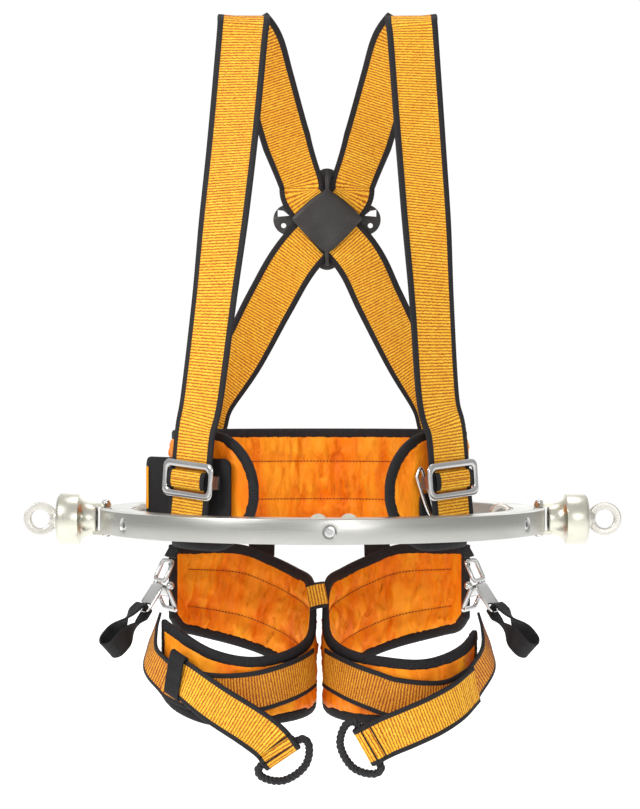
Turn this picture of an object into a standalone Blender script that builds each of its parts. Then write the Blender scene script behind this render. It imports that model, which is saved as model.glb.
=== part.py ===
"""Acrobat's safety harness with a twisting ring, as an assembly of separate parts.

Lengths are millimetres and angles degrees; make() turns each mesh into metres.
The origin is the ring's centre, where the swivel axis X crosses the twist axis Z.
+Z is up and +Y is towards the wearer's back. Left and right are those of someone who
faces the wearer, so left is -X.
"""

import math

import bmesh
import bpy
from mathutils import Matrix, Vector

MM = 0.001
GAP = 0.35  # running clearance between neighbouring parts
SIDES = {"left": -1, "right": 1}
X, Y, Z = Vector((1, 0, 0)), Vector((0, 1, 0)), Vector((0, 0, 1))

# Ring
RING_OUTER_R = 212.5
RING_HEIGHT = 22
OUTER_WALL = 9.6
INNER_RING_OUTER_R = RING_OUTER_R - OUTER_WALL - 0.6
INNER_RING_INNER_R = 182.5
GROOVE_FLOOR_R = 193.2
ROLLER_R, ROLLER_LENGTH, ROLLER_AT = 6.0, 6.5, 197.7
GROOVE_HEIGHT = 2 * (ROLLER_R + 0.3)
ROLLER_ANGLES = (1.6, 61.6, 121.6, 181.6, 241.6, 301.6)  # from the wearer's front

# Side swivels, as distances from the ring's centre along X
HUB_R, HUB_END, HUB_SHOULDER, NECK_END, NECK_R = 24.25, 253.9, 232.8, 216.6, 15.2
EAR_TIP, EAR_HALF_WIDTH, EAR_THICK = 202.8, 9.5, 3.5
EAR_Z = RING_HEIGHT / 2 + 0.4
EAR_SCREW_AT = 207.7
CHAMBER_R, CHAMBER_END = 10.9, 247.0
SPINDLE_R, SPINDLE_END = 6.0, 228.0
EYE_AT, EYE_R, EYE_HOLE_R, EYE_THICK = 270.5, 16.0, 9.0, 9.0

# Webbing and pads
WEBBING, WEBBING_THICK = 50, 2.2
LEG_WEBBING = 38
MID_X = -3  # the soft parts sit a little to one side of the ring's centre
BELT_HALF_WIDTH, BELT_HALF_DEPTH, BELT_Y = 138, 118, -6
BELT_THICK, BELT_LOW, BELT_HIGH = 11, -24, 84
WING_R = 51
LEG_SPREAD, LEG_HALF_WIDTH, LEG_HALF_DEPTH, LEG_Y, LEG_THICK = 79, 73, 80, -4, 8

# Strap adjuster
ADJUSTER = (62, 34, 3)
ADJUSTER_WINDOW = (51.6, 20.5)
ADJUSTER_Z = 41
ADJUSTER_BAR_R = 2.0

PARTS = {
    # colour, roughness, metallic
    "webbing": ((0.90, 0.42, 0.03), 0.6, 0),
    "satin": ((0.95, 0.24, 0.01), 0.45, 0),
    "black_webbing": ((0.012, 0.012, 0.014), 0.7, 0),
    "cord": ((0.02, 0.02, 0.022), 0.75, 0),
    "plate": ((0.035, 0.035, 0.038), 0.45, 0),
    "aluminium": ((0.62, 0.62, 0.60), 0.38, 1),
    "nickel": ((0.70, 0.68, 0.60), 0.30, 1),
    "steel": ((0.72, 0.72, 0.72), 0.22, 1),
    "nylon": ((0.80, 0.78, 0.70), 0.5, 0),
    "eye_metal": ((0.84, 0.82, 0.76), 0.42, 0.7),
}


# ---------------------------------------------------------------- scene and materials


def clear_scene():
    for obj in list(bpy.data.objects):
        bpy.data.objects.remove(obj, do_unlink=True)


def collection(name):
    found = bpy.data.collections.get(name)
    if not found:
        found = bpy.data.collections.new(name)
        bpy.context.scene.collection.children.link(found)
    return found


def material(name):
    found = bpy.data.materials.get(name)
    if not found:
        colour, roughness, metallic = PARTS[name]
        found = bpy.data.materials.new(name)
        found.use_nodes = True
        found.diffuse_color = (*colour, 1)
        shader = found.node_tree.nodes["Principled BSDF"]
        shader.inputs["Base Color"].default_value = (*colour, 1)
        shader.inputs["Roughness"].default_value = roughness
        shader.inputs["Metallic"].default_value = metallic
    return found


def make(name, bm, surface, origin=(0, 0, 0), group="SafetyHarness"):
    """An object from a mesh in millimetres, with its own origin at a point of the same frame."""
    origin = Vector(origin)
    bmesh.ops.recalc_face_normals(bm, faces=bm.faces)
    bmesh.ops.translate(bm, vec=-origin, verts=bm.verts)
    bmesh.ops.scale(bm, vec=(MM, MM, MM), verts=bm.verts)
    mesh = bpy.data.meshes.new(name)
    bm.to_mesh(mesh)
    bm.free()
    mesh.materials.append(material(surface))
    obj = bpy.data.objects.new(name, mesh)
    obj.location = origin * MM
    collection(group).objects.link(obj)
    return obj


def combine(obj, operation, bm):
    """Cuts a tool mesh from an object, or joins it on."""
    tool = make(f"tool_{len(collection('Tools').objects)}_{obj.name}", bm, "steel", group="Tools")
    tool.hide_render = True
    tool.display_type = "WIRE"
    modifier = obj.modifiers.new(tool.name, "BOOLEAN")
    modifier.object = tool
    modifier.operation = operation
    modifier.solver = "EXACT"


# ---------------------------------------------------------------- solids


def frame_of(point, out, up=Z):
    """A local frame at a point: x across, y up, z out of the surface."""
    out = Vector(out).normalized()
    across = Vector(up).cross(out).normalized()
    up = out.cross(across)
    turn = Matrix((across, up, out)).transposed().to_4x4()
    return Matrix.Translation(point) @ turn


def evaluated(data, modify=None):
    """The mesh that a profile's modifiers or a curve's bevel make."""
    guide = bpy.data.objects.new("guide", data)
    collection("Tools").objects.link(guide)
    if modify:
        modify(guide)
    graph = bpy.context.evaluated_depsgraph_get()
    mesh = bpy.data.meshes.new_from_object(guide.evaluated_get(graph), depsgraph=graph)
    bpy.data.objects.remove(guide, do_unlink=True)
    bm = bmesh.new()
    bm.from_mesh(mesh)
    bpy.data.meshes.remove(mesh)
    return bm


def turned(profile, steps, axis=Z, at=(0, 0, 0)):
    """A solid of revolution from (radius, height) points, closed unless it ends on the axis."""
    edges = [(k, k + 1) for k in range(len(profile) - 1)]
    if profile[0][0] > 0:
        edges.append((len(profile) - 1, 0))
    mesh = bpy.data.meshes.new("profile")
    mesh.from_pydata([(r, 0, z) for r, z in profile], edges, [])

    def screw(guide):
        modifier = guide.modifiers.new("turn", "SCREW")
        modifier.axis = "Z"
        modifier.steps = modifier.render_steps = steps
        modifier.use_merge_vertices = True
        modifier.merge_threshold = 0.0001

    bm = evaluated(mesh, screw)
    turn = Z.rotation_difference(Vector(axis)).to_matrix().to_4x4()
    half_step = Matrix.Rotation(math.pi / steps, 4, "Z")
    bmesh.ops.transform(bm, matrix=Matrix.Translation(at) @ turn @ half_step, verts=bm.verts)
    return bm


def drum(radius, start, end, steps=24):
    """A cylinder from one point to another."""
    start, end = Vector(start), Vector(end)
    turn = Z.rotation_difference(end - start).to_matrix().to_4x4()
    phase = Matrix.Rotation(math.pi / steps - math.pi / 2, 4, "Z")
    bm = bmesh.new()
    bmesh.ops.create_cone(bm, cap_ends=True, segments=steps, radius1=radius, radius2=radius,
                          depth=(end - start).length,
                          matrix=Matrix.Translation((start + end) / 2) @ turn @ phase)
    return bm


def block(size, frame=Matrix()):
    """A box centred on a local frame."""
    bm = bmesh.new()
    bmesh.ops.create_cube(bm, size=1, matrix=frame @ Matrix.Diagonal((*size, 1)))
    return bm


def loft(rings, closed=False):
    """A solid through rings of points, with flat ends unless it closes on itself."""
    bm = bmesh.new()
    rings = [[bm.verts.new(point) for point in ring] for ring in rings]
    pairs = list(zip(rings, rings[1:]))
    if closed:
        pairs.append((rings[-1], rings[0]))
    else:
        bm.faces.new(rings[0])
        bm.faces.new(rings[-1])
    count = len(rings[0])
    for near, far in pairs:
        for i in range(count):
            j = (i + 1) % count
            bm.faces.new((near[i], near[j], far[j], far[i]))
    return bm


def smoothed(rows, steps):
    """A Catmull-Rom curve through rows of numbers."""
    rows = [Vector(row) for row in rows]
    padded = [2 * rows[0] - rows[1], *rows, 2 * rows[-1] - rows[-2]]
    points = []
    for a, b, c, d in zip(padded, padded[1:], padded[2:], padded[3:]):
        for step in range(steps):
            t = step / steps
            points.append(0.5 * (2 * b + (c - a) * t + (2 * a - 5 * b + 4 * c - d) * t ** 2
                                 + (3 * b - a - 3 * c + d) * t ** 3))
    return [*points, rows[-1]]


def directions(points, closed):
    """The unit tangent at each point of a path."""
    last = len(points) - 1
    found = []
    for i, _ in enumerate(points):
        before = points[i - 1] if i or closed else points[0]
        after = points[(i + 1) % len(points)] if i < last or closed else points[last]
        found.append((after - before).normalized())
    return found


def ribbon(points, normals, width, thick, closed=False):
    """Webbing that follows a path, with its face turned to the given normals."""
    rings = []
    for point, normal, along in zip(points, normals, directions(points, closed)):
        across = along.cross(normal).normalized()
        out = across.cross(along)
        w, t = across * width / 2, out * thick / 2
        rings.append([point - w - t, point + w - t, point + w + t, point - w + t])
    return loft(rings, closed)


def wire(points, radius):
    """A closed ring of round wire through points."""
    curve = bpy.data.curves.new("wire", "CURVE")
    curve.dimensions = "3D"
    curve.bevel_depth = radius
    curve.bevel_resolution = 2
    spline = curve.splines.new("POLY")
    spline.points.add(len(points) - 1)
    for spot, point in zip(spline.points, points):
        spot.co = (*point, 1)
    spline.use_cyclic_u = True
    return evaluated(curve)


def rounded_loop(frame, width, height, radius, steps=3):
    """The points of a rounded rectangle in a local frame's plane."""
    points = []
    for turn in range(4):
        middle = Vector((width / 2 - radius, height / 2 - radius, 0))
        middle = Vector((middle.x * (1, -1, -1, 1)[turn], middle.y * (1, 1, -1, -1)[turn], 0))
        for step in range(steps + 1):
            a = math.radians(90 * (turn + step / steps))
            points.append(frame @ (middle + radius * Vector((math.cos(a), math.sin(a), 0))))
    return points


def oval(centre, half_width, half_depth, angle, offset=0.0):
    """(point, outward normal) on an oval; angle 0 is the back and 90 is +X."""
    s, c = math.sin(math.radians(angle)), math.cos(math.radians(angle))
    normal = Vector((s / half_width, c / half_depth, 0)).normalized()
    point = Vector((centre[0] + half_width * s, centre[1] + half_depth * c, 0))
    return point + offset * normal, normal


def wall(rows, centre, half_width, half_depth, thick, offset=0.0):
    """A standing band around an oval, from (angle, low, high) rows."""
    rings = []
    for angle, low, high in rows:
        point, out = oval(centre, half_width, half_depth, angle, offset)
        near, far = point - out * thick / 2, point + out * thick / 2
        rings.append([near + Z * low, far + Z * low, far + Z * high, near + Z * high])
    return loft(rings)


# ---------------------------------------------------------------- ring and swivels


def around(angle, radius, z=0.0):
    """A point at an angle from the wearer's front, anticlockwise from above."""
    a = math.radians(angle - 90)
    return Vector((radius * math.cos(a), radius * math.sin(a), z))


def build_rings():
    half = RING_HEIGHT / 2
    inside = RING_OUTER_R - OUTER_WALL
    bevel = 0.6
    outer = make("outer_ring", turned([
        (inside, -half), (RING_OUTER_R - bevel, -half), (RING_OUTER_R, -half + bevel),
        (RING_OUTER_R, half - bevel), (RING_OUTER_R - bevel, half), (inside, half)], 96), "aluminium")
    groove = GROOVE_HEIGHT / 2
    make("inner_ring", turned([
        (INNER_RING_INNER_R, -half), (INNER_RING_OUTER_R, -half), (INNER_RING_OUTER_R, -groove),
        (GROOVE_FLOOR_R, -groove), (GROOVE_FLOOR_R, groove), (INNER_RING_OUTER_R, groove),
        (INNER_RING_OUTER_R, half), (INNER_RING_INNER_R, half)], 96), "aluminium")
    for number, angle in enumerate(ROLLER_ANGLES, 1):
        outward = around(angle, 1)
        combine(outer, "DIFFERENCE", turned(
            [(0, -20), (2.75, -20), (2.75, -4.1), (5.2, -4.1), (5.2, -1.4), (6.9, 0.3), (6.9, 3),
             (0, 3)], 24, outward, outward * RING_OUTER_R))
        build_roller(number, outward)
    for side in SIDES.values():
        for up in (-1, 1):
            foot = Vector((side * EAR_SCREW_AT, 0, up * 4))
            combine(outer, "DIFFERENCE", drum(2.1, foot, foot + Z * up * 12, 16))


def build_roller(number, outward):
    """A track roller and the countersunk socket screw that it turns on."""
    make(f"ring_roller_{number}", turned(
        [(2.75, -ROLLER_LENGTH / 2), (ROLLER_R - 0.5, -ROLLER_LENGTH / 2),
         (ROLLER_R, -ROLLER_LENGTH / 2 + 0.5), (ROLLER_R, ROLLER_LENGTH / 2 - 0.5),
         (ROLLER_R - 0.5, ROLLER_LENGTH / 2), (2.75, ROLLER_LENGTH / 2)], 24, outward,
        outward * ROLLER_AT), "nylon", outward * ROLLER_AT)
    head = RING_OUTER_R - 0.9
    screw = make(f"roller_screw_{number}", turned(
        [(0, -18.1), (2.4, -18.1), (2.4, -2.8), (4.9, -2.8), (4.9, -0.4), (4.5, 0), (0, 0)], 24,
        outward, outward * head), "steel", outward * head)
    combine(screw, "DIFFERENCE", turned([(0, -2.0), (2.6, -2.0), (2.6, 1), (0, 1)], 6, outward,
                                        outward * head))


def ear(side, near, far):
    """One round-tipped fork ear, which grips the ring from above or below."""
    root, centre = NECK_END + 3, EAR_TIP + EAR_HALF_WIDTH
    outline = [(root, -EAR_HALF_WIDTH), (root, EAR_HALF_WIDTH)]
    for step in range(13):
        a = math.radians(90 + 15 * step)
        outline.append((centre + EAR_HALF_WIDTH * math.cos(a), EAR_HALF_WIDTH * math.sin(a)))
    return loft([[Vector((side * x, y, z)) for x, y in outline] for z in (near, far)])


def build_swivel(name, side):
    axis = X * side
    housing = make(f"swivel_housing_{name}", turned(
        [(0, NECK_END), (NECK_R - 0.6, NECK_END), (NECK_R, NECK_END + 0.6),
         (NECK_R + 0.7, NECK_END + 5), (NECK_R + 2.6, NECK_END + 9.5),
         (NECK_R + 5.6, NECK_END + 13), (HUB_R - 0.8, HUB_SHOULDER - 0.7),
         (HUB_R, HUB_SHOULDER + 0.2), (HUB_R, HUB_END - 1.4), (HUB_R - 1.4, HUB_END),
         (0, HUB_END)], 48, axis), "nickel")
    combine(housing, "DIFFERENCE", turned(
        [(0, NECK_END - 5), (CHAMBER_R, NECK_END - 5), (CHAMBER_R, CHAMBER_END),
         (SPINDLE_R + GAP, CHAMBER_END), (SPINDLE_R + GAP, HUB_END + 5), (0, HUB_END + 5)], 32, axis))
    for up, level in ((-1, "lower"), (1, "upper")):
        combine(housing, "UNION", ear(side, up * EAR_Z, up * (EAR_Z + EAR_THICK)))
        hole = Vector((side * EAR_SCREW_AT, 0, up * (EAR_Z - 1)))
        combine(housing, "DIFFERENCE", drum(2.2, hole, hole + Z * up * (EAR_THICK + 2), 16))
        seat = EAR_Z + EAR_THICK + 0.05
        make(f"housing_screw_{level}_{name}", turned(
            [(0, -9), (1.8, -9), (1.8, 0), (4.1, 0), (4.1, 0.8), (3.6, 2.2), (2.4, 3.2), (1.3, 3.5),
             (1.3, 1.6), (0, 1.6)], 20, Z * up, (side * EAR_SCREW_AT, 0, up * seat)), "steel",
            (side * EAR_SCREW_AT, 0, up * seat))

    make(f"swivel_bearing_{name}", turned(
        [(SPINDLE_R + GAP, 239.5), (CHAMBER_R - GAP, 239.5), (CHAMBER_R - GAP, CHAMBER_END - GAP),
         (SPINDLE_R + GAP, CHAMBER_END - GAP)], 32, axis), "steel")
    nut = make(f"spindle_nut_{name}", drum(9.8, axis * 231.5, axis * 239.1, 6), "steel",
               axis * 235)
    combine(nut, "DIFFERENCE", drum(SPINDLE_R + GAP, axis * 225, axis * 245, 24))
    build_eye(name, side)


def build_eye(name, side):
    """The spindle and its flat lifting eye, in one forging."""
    axis = X * side
    eye = make(f"swivel_eye_{name}", turned(
        [(0, SPINDLE_END), (SPINDLE_R - 0.8, SPINDLE_END), (SPINDLE_R, SPINDLE_END + 0.8),
         (SPINDLE_R, HUB_END + 0.5), (9.6, HUB_END + 0.5), (9.6, HUB_END + 3),
         (7.6, HUB_END + 5), (6.4, EYE_AT - 9.5), (0, EYE_AT - 9.5)], 32, axis), "eye_metal")
    centre = Vector((side * EYE_AT, 0, 0))
    half, bevel = EYE_THICK / 2, 1.2
    combine(eye, "UNION", turned(
        [(EYE_HOLE_R, -half + bevel), (EYE_HOLE_R + bevel, -half), (EYE_R - bevel, -half),
         (EYE_R, -half + bevel), (EYE_R, half - bevel), (EYE_R - bevel, half),
         (EYE_HOLE_R + bevel, half), (EYE_HOLE_R, half - bevel)], 48, Y, centre))


def build_inner_fittings():
    """What is screwed to the inner ring: the belt's side lugs and the two front stops."""
    for name, side in SIDES.items():
        at = Vector((side * 171, 0, 4.5))
        lug = make(f"belt_lug_{name}", turned(
            [(5.2, -3.5), (10, -3.5), (10.6, -2.9), (10.6, 2.9), (10, 3.5), (5.2, 3.5)], 32, Y,
            at), "eye_metal")
        foot = block((3.2, 18, 15), Matrix.Translation((side * (INNER_RING_INNER_R - 2.2), 0, 2)))
        combine(lug, "UNION", foot)
        across = MID_X + 12.5 + side * 13.4
        flush = math.sqrt(INNER_RING_INNER_R ** 2 - (abs(across) + 8.8) ** 2) - 0.4
        stop = Vector((across, -flush, 5.4))
        make(f"ring_stop_{name}", turned(
            [(0, 0), (8.6, 0), (8.6, 4.6), (7.4, 5.8), (0, 5.8)], 32, Y, stop), "nickel")


# ---------------------------------------------------------------- belt and shoulder straps


def belt_rows(start, end, low, high, step=6):
    """(angle, low, high) rows whose two ends are rounded like the belt's wings."""
    count = round((end - start) / step)
    middle, half = (low + high) / 2, (high - low) / 2
    radius = math.degrees(WING_R / BELT_HALF_WIDTH)
    rows = []
    for i in range(count + 1):
        angle = start + (end - start) * i / count
        reach = min(angle - start, end - angle, radius) / radius
        tall = max(half * math.sqrt(1 - (1 - reach) ** 2), 4)
        rows.append((angle, middle - tall, middle + tall))
    return rows


def belt_oval(angle, offset=0.0):
    return oval((MID_X, BELT_Y), BELT_HALF_WIDTH, BELT_HALF_DEPTH, angle, offset)


def build_belt():
    around_belt = ((MID_X, BELT_Y), BELT_HALF_WIDTH, BELT_HALF_DEPTH)
    make("belt_pad", wall(belt_rows(-156, 154, BELT_LOW, BELT_HIGH), *around_belt, BELT_THICK),
         "satin")
    points, normals = map(list, zip(*(belt_oval(angle, 10.5) for angle in range(-147, -119, 3))))
    flare = (points[-1] - points[-2]).normalized()  # the free end stands straight off the belt
    for reach in (15, 30, 45, 60):
        points.append(points[9] + flare * reach)
        normals.append(normals[9])
    make("closure_band_left", ribbon([p + Z * 31 for p in points], normals, 58, 2.6),
         "black_webbing")
    rows = [(angle, 4, 28) for angle in range(105, 142, 6)]
    make("closure_tab_right", wall(rows, *around_belt, 2.6, 8.5), "black_webbing")

    point, out = belt_oval(140, 13)
    frame = frame_of(point + Z * 31, out)
    corners = [frame @ Vector(p) for p in ((-10, 13, 0), (-4, 19, 0), (9, -17, 0), (4, -20, 0))]
    make("triangle_link", wire(smoothed([*corners, corners[0]], 4)[:-1], 1.5), "steel",
         frame @ Vector((6.5, -18, 0)))


STRAP_FRONT = {
    # x, y, z and the yaw of the face from straight ahead, from the foot up
    "left": [(-125.5, -99, -12, 40), (-120.4, -100.1, 41, 40), (-116.3, -101, 84, 40),
             (-110, -101, 116, 36), (-99, -96, 206, 32), (-91, -78, 283, 20), (-84, -46, 362, 14),
             (-77, -14, 456, 8)],
    "right": [(121, -99, -12, 40), (116.3, -100.1, 41, 40), (112.5, -101, 84, 40),
              (105, -101, 116, 36), (99.5, -96, 206, 32), (95.5, -78, 283, 20), (91.5, -46, 362, 14),
              (86.5, -14, 456, 8)],
}
STRAP_BACK = {
    # reach past the crossing at two heights, then (angle, z) rows on the belt's back
    "left": ((53, 80), ((48, 116), (52, 90), (57, 60))),
    "right": ((57, 86), ((45, 116), (49, 90), (54, 60))),
}
FOLD = [(-8, 475, -60), (2, 482, 0), (12, 477, 60)]  # y, z and lean of the face at the shoulder
CROSSING = Vector((4.7, 108, 297))


def strap_route(name):
    """A shoulder strap from the belt's front, over the shoulder and across the back."""
    side = SIDES[name]
    rows = []
    for x, y, z, yaw in STRAP_FRONT[name]:
        a = math.radians(yaw) * side
        rows.append((x, y, z, math.sin(a), -math.cos(a), 0))
    top_x = rows[-1][0] - side * 1.5
    for y, z, lean in FOLD:
        a = math.radians(lean)
        rows.append((top_x, y, z, 0, math.sin(a), math.cos(a)))
    x, depth = CROSSING.x, CROSSING.y + side * 1.8
    lean = side * 0.28
    rows += [
        (x + side * 67, 26, 460, lean * 0.3, 0.9, 0.45),
        (x + side * 57, 48, 428, lean * 0.6, 0.96, 0.3),
        (x + side * 41, 84, 374, lean * 0.4, 0.98, 0.15),
        (x + side * 27, depth - 3, 335, 0, 1, 0),
        (x + side * 20, depth - 1, 314, 0, 1, 0),
        (x - side * 29, depth - 1, 261, 0, 1, 0),
    ]
    (near, far), belt_ends = STRAP_BACK[name]
    rows += [(x - side * near, 104, 214, -lean * 0.7, 1, 0),
             (x - side * far, 94, 158, -lean * 1.6, 0.9, 0)]
    for angle, z in belt_ends:
        point, out = belt_oval(-side * angle, BELT_THICK / 2 + 4)
        rows.append((point.x, point.y, z, *out))
    rows = smoothed(rows, 4)
    return [Vector(row[:3]) for row in rows], [Vector(row[3:]) for row in rows]


def build_shoulders():
    for name, side in SIDES.items():
        make(f"shoulder_strap_{name}", ribbon(*strap_route(name), WEBBING, WEBBING_THICK), "webbing")
        build_adjuster(name, side)
    build_cross_plate()


def build_adjuster(name, side):
    """A three-bar slide: the webbing runs behind its frame and in front of its middle bar."""
    (x0, y0, z0, yaw), (x1, y1, z1, _) = STRAP_FRONT[name][0], STRAP_FRONT[name][2]
    share = (ADJUSTER_Z - z0) / (z1 - z0)
    at = Vector(STRAP_FRONT[name][1][:3])
    a = math.radians(yaw) * side
    along = Vector((x1 - x0, y1 - y0, z1 - z0))
    frame = frame_of(at, (math.sin(a), -math.cos(a), 0), along)
    wide, tall, thick = ADJUSTER
    front = WEBBING_THICK / 2 + 1.0
    body = make(f"strap_adjuster_{name}",
                block((wide, tall, thick), frame @ Matrix.Translation((0, 0, front + thick / 2))),
                "steel", at)
    combine(body, "DIFFERENCE", block((*ADJUSTER_WINDOW, 20), frame))
    cheek = (wide - ADJUSTER_WINDOW[0]) / 2
    back = front + 1.0 + 2 * ADJUSTER_BAR_R
    for way in (-1, 1):
        middle = Vector((way * (wide - cheek) / 2, 0, (front + 0.8 - back) / 2))
        combine(body, "UNION", block((cheek, 12, front + 0.8 + back),
                                     frame @ Matrix.Translation(middle)))
    end = Vector(((wide - cheek) / 2, 0, -back + ADJUSTER_BAR_R))
    combine(body, "UNION", drum(ADJUSTER_BAR_R, frame @ Vector((-end.x, 0, end.z)), frame @ end, 12))


def build_cross_plate():
    """A lobed rear plate and a front diamond that hold the crossing straps between them."""
    rear, front = CROSSING.y + 6.2, CROSSING.y - 6.2
    x, z = CROSSING.x, CROSSING.z

    def disc(dx, dz, radius, steps=28):
        return drum(radius, (x + dx, rear - 1.3, z + dz), (x + dx, rear + 1.3, z + dz), steps)

    plate = make("back_cross_plate", disc(0, 0, 37, 48), "plate")
    for dx, dz, radius in ((0, 39, 12), (0, -38, 12), (-39, 0, 14.5), (39, 0, 14.5)):
        combine(plate, "UNION", disc(dx, dz, radius))
    for way in (-1, 1):
        for up in (-1, 1):
            hole = (x + way * 44, 0, z + up * 6)
            combine(plate, "DIFFERENCE", drum(3, (hole[0], rear - 4, hole[2]),
                                              (hole[0], rear + 4, hole[2]), 12))
    diamond = [(1.6, 29.5), (10, 25), (32, 6), (35, 0), (32, -5), (10, -27), (2.2, -33),
               (2.2, -47), (-2.2, -47), (-2.2, -33), (-10, -27), (-32, -5), (-35, 0), (-32, 6),
               (-10, 25), (-1.6, 29.5), (-1.6, 47.5), (1.6, 47.5)]
    for dz in (45.3, -45):
        post = Matrix.Translation((x, (rear + front) / 2, z + dz))
        combine(plate, "UNION", block((3, rear - front, 4), post))
    combine(plate, "UNION", loft([[Vector((x + dx, y, z + dz)) for dx, dz in diamond]
                                  for y in (front - 1.2, front + 1.2)]))


# ---------------------------------------------------------------- leg loops


LEG_ROWS = [
    # angle from the back towards the other leg, low and high edges
    (-64, -98, -28), (-52, -112, -29), (-36, -118, -30), (0, -131, -31), (26, -142, -42),
    (50, -154, -52), (75, -170, -60), (90, -177, -78), (102, -181, -104), (130, -184, -118),
    (165, -185, -124),
]
LEG_OUTER_ROWS = {
    "left": [(195, -185, -117), (225, -176, -101), (247, -165, -94)],
    "right": [(195, -185, -126), (225, -176, -117), (247, -165, -104)],
}
LEG_STRAP_ROWS = {
    # angle and height of the strap's middle
    "left": [(112, -138), (130, -144), (150, -150), (165, -154), (188, -156), (210, -153),
             (232, -146)],
    "right": [(112, -138), (130, -143), (157, -153), (175, -160), (207, -163), (232, -152)],
}
TAIL_ROWS = {
    # x, y, z, then the face's direction
    "left": [(-141, -72, -137, -0.85, -0.55, 0), (-125, -91, -145, -0.6, -0.8, 0),
             (-98, -105, -163, -0.25, -0.97, 0), (-65, -112, -183, 0, -1, 0),
             (-47, -111, -197, 0, -1, 0), (-38.5, -108, -209, 0, -1, 0)],
    "right": [(143, -66, -150, 0.85, -0.55, 0), (125, -91, -162, 0.6, -0.8, 0),
              (103, -105, -173, 0.25, -0.97, 0), (79, -111, -183, 0, -1, 0),
              (57, -112, -192, 0, -1, 0), (41, -108, -201, 0, -1, 0)],
}
SLEEVE_R = 6.2
CORD_R = 3.7
HIP_YAW = 25
PULL_TWIST = 65


def leg_oval(side):
    return (MID_X + side * LEG_SPREAD, LEG_Y), LEG_HALF_WIDTH, LEG_HALF_DEPTH


def build_leg(name, side):
    around_leg = leg_oval(side)
    rows = [(-side * row[0], row[1], row[2])
            for row in smoothed(LEG_ROWS + LEG_OUTER_ROWS[name], 2)]
    make(f"leg_pad_{name}", wall(rows, *around_leg, LEG_THICK), "satin")
    build_leg_strap(name, side)
    build_hip_buckle(name, side)

    top = MID_X + side * 58
    riser = [Vector((top, 100, BELT_LOW - 4)), Vector((top, 95, -35)), Vector((top, 86, -42))]
    make(f"rear_riser_{name}", ribbon(riser, [Y, Y, Y], 26, 2.4), "black_webbing")


def build_leg_strap(name, side):
    """The webbing over the front of the leg, up its side to the buckle, and its free tail."""
    centre, wide, deep = leg_oval(side)
    points, normals = [], []
    for angle, z in smoothed(LEG_STRAP_ROWS[name], 3):
        point, out = oval(centre, wide, deep, -side * angle, LEG_THICK / 2 + 3.2)
        points.append(point + Z * z)
        normals.append(out)
    x = centre[0]
    rows = [
        (*points[-1], *normals[-1]),
        (x + side * 79, -45, -130, side * 0.85, -0.5, 0),
        (x + side * 79, -29, -112, side * 0.95, -0.3, 0.1),
        (x + side * 75.5, -17, -98, side, -0.2, 0.15),
    ]
    rows = smoothed(rows, 4)[1:]
    points += [Vector(row[:3]) for row in rows]
    normals += [Vector(row[3:]) for row in rows]
    make(f"leg_strap_{name}", ribbon(points, normals, LEG_WEBBING, 2.2), "webbing")

    rows = smoothed(TAIL_ROWS[name], 4)
    points = [Vector(row[:3]) for row in rows]
    normals = [Vector(row[3:]) for row in rows]
    along = (points[-1] - points[-2]).normalized()
    out = (normals[-1] - along * normals[-1].dot(along)).normalized()
    middle = points[-1] - out * SLEEVE_R
    for turn in range(30, 316, 30):
        a = math.radians(turn)
        radial = out * math.cos(a) + along * math.sin(a)
        points.append(middle + radial * SLEEVE_R)
        normals.append(radial)
    make(f"strap_tail_{name}", ribbon(points, normals, LEG_WEBBING, 1.8), "webbing")
    build_cord_loop(name, middle, along.cross(out) * side, along)


def build_cord_loop(name, middle, across, along):
    """A cord ring whose straight side lies in the sleeve at the strap's end."""
    reach = LEG_WEBBING / 2
    outline = [(-reach, 0), (0, 0), (reach, 0), (reach + 6, 2), (reach + 7.2, 8), (23, 14.5),
               (18, 20), (11, 24.3), (0, 26), (-11, 24.3), (-18, 20), (-23, 14.5),
               (-reach - 7.2, 8), (-reach - 6, 2)]
    points = [middle + across * u + along * v for u, v in outline]
    points = smoothed([*points, points[0]], 3)[:-1]
    make(f"cord_loop_{name}", wire(points, CORD_R), "cord", middle)


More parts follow.
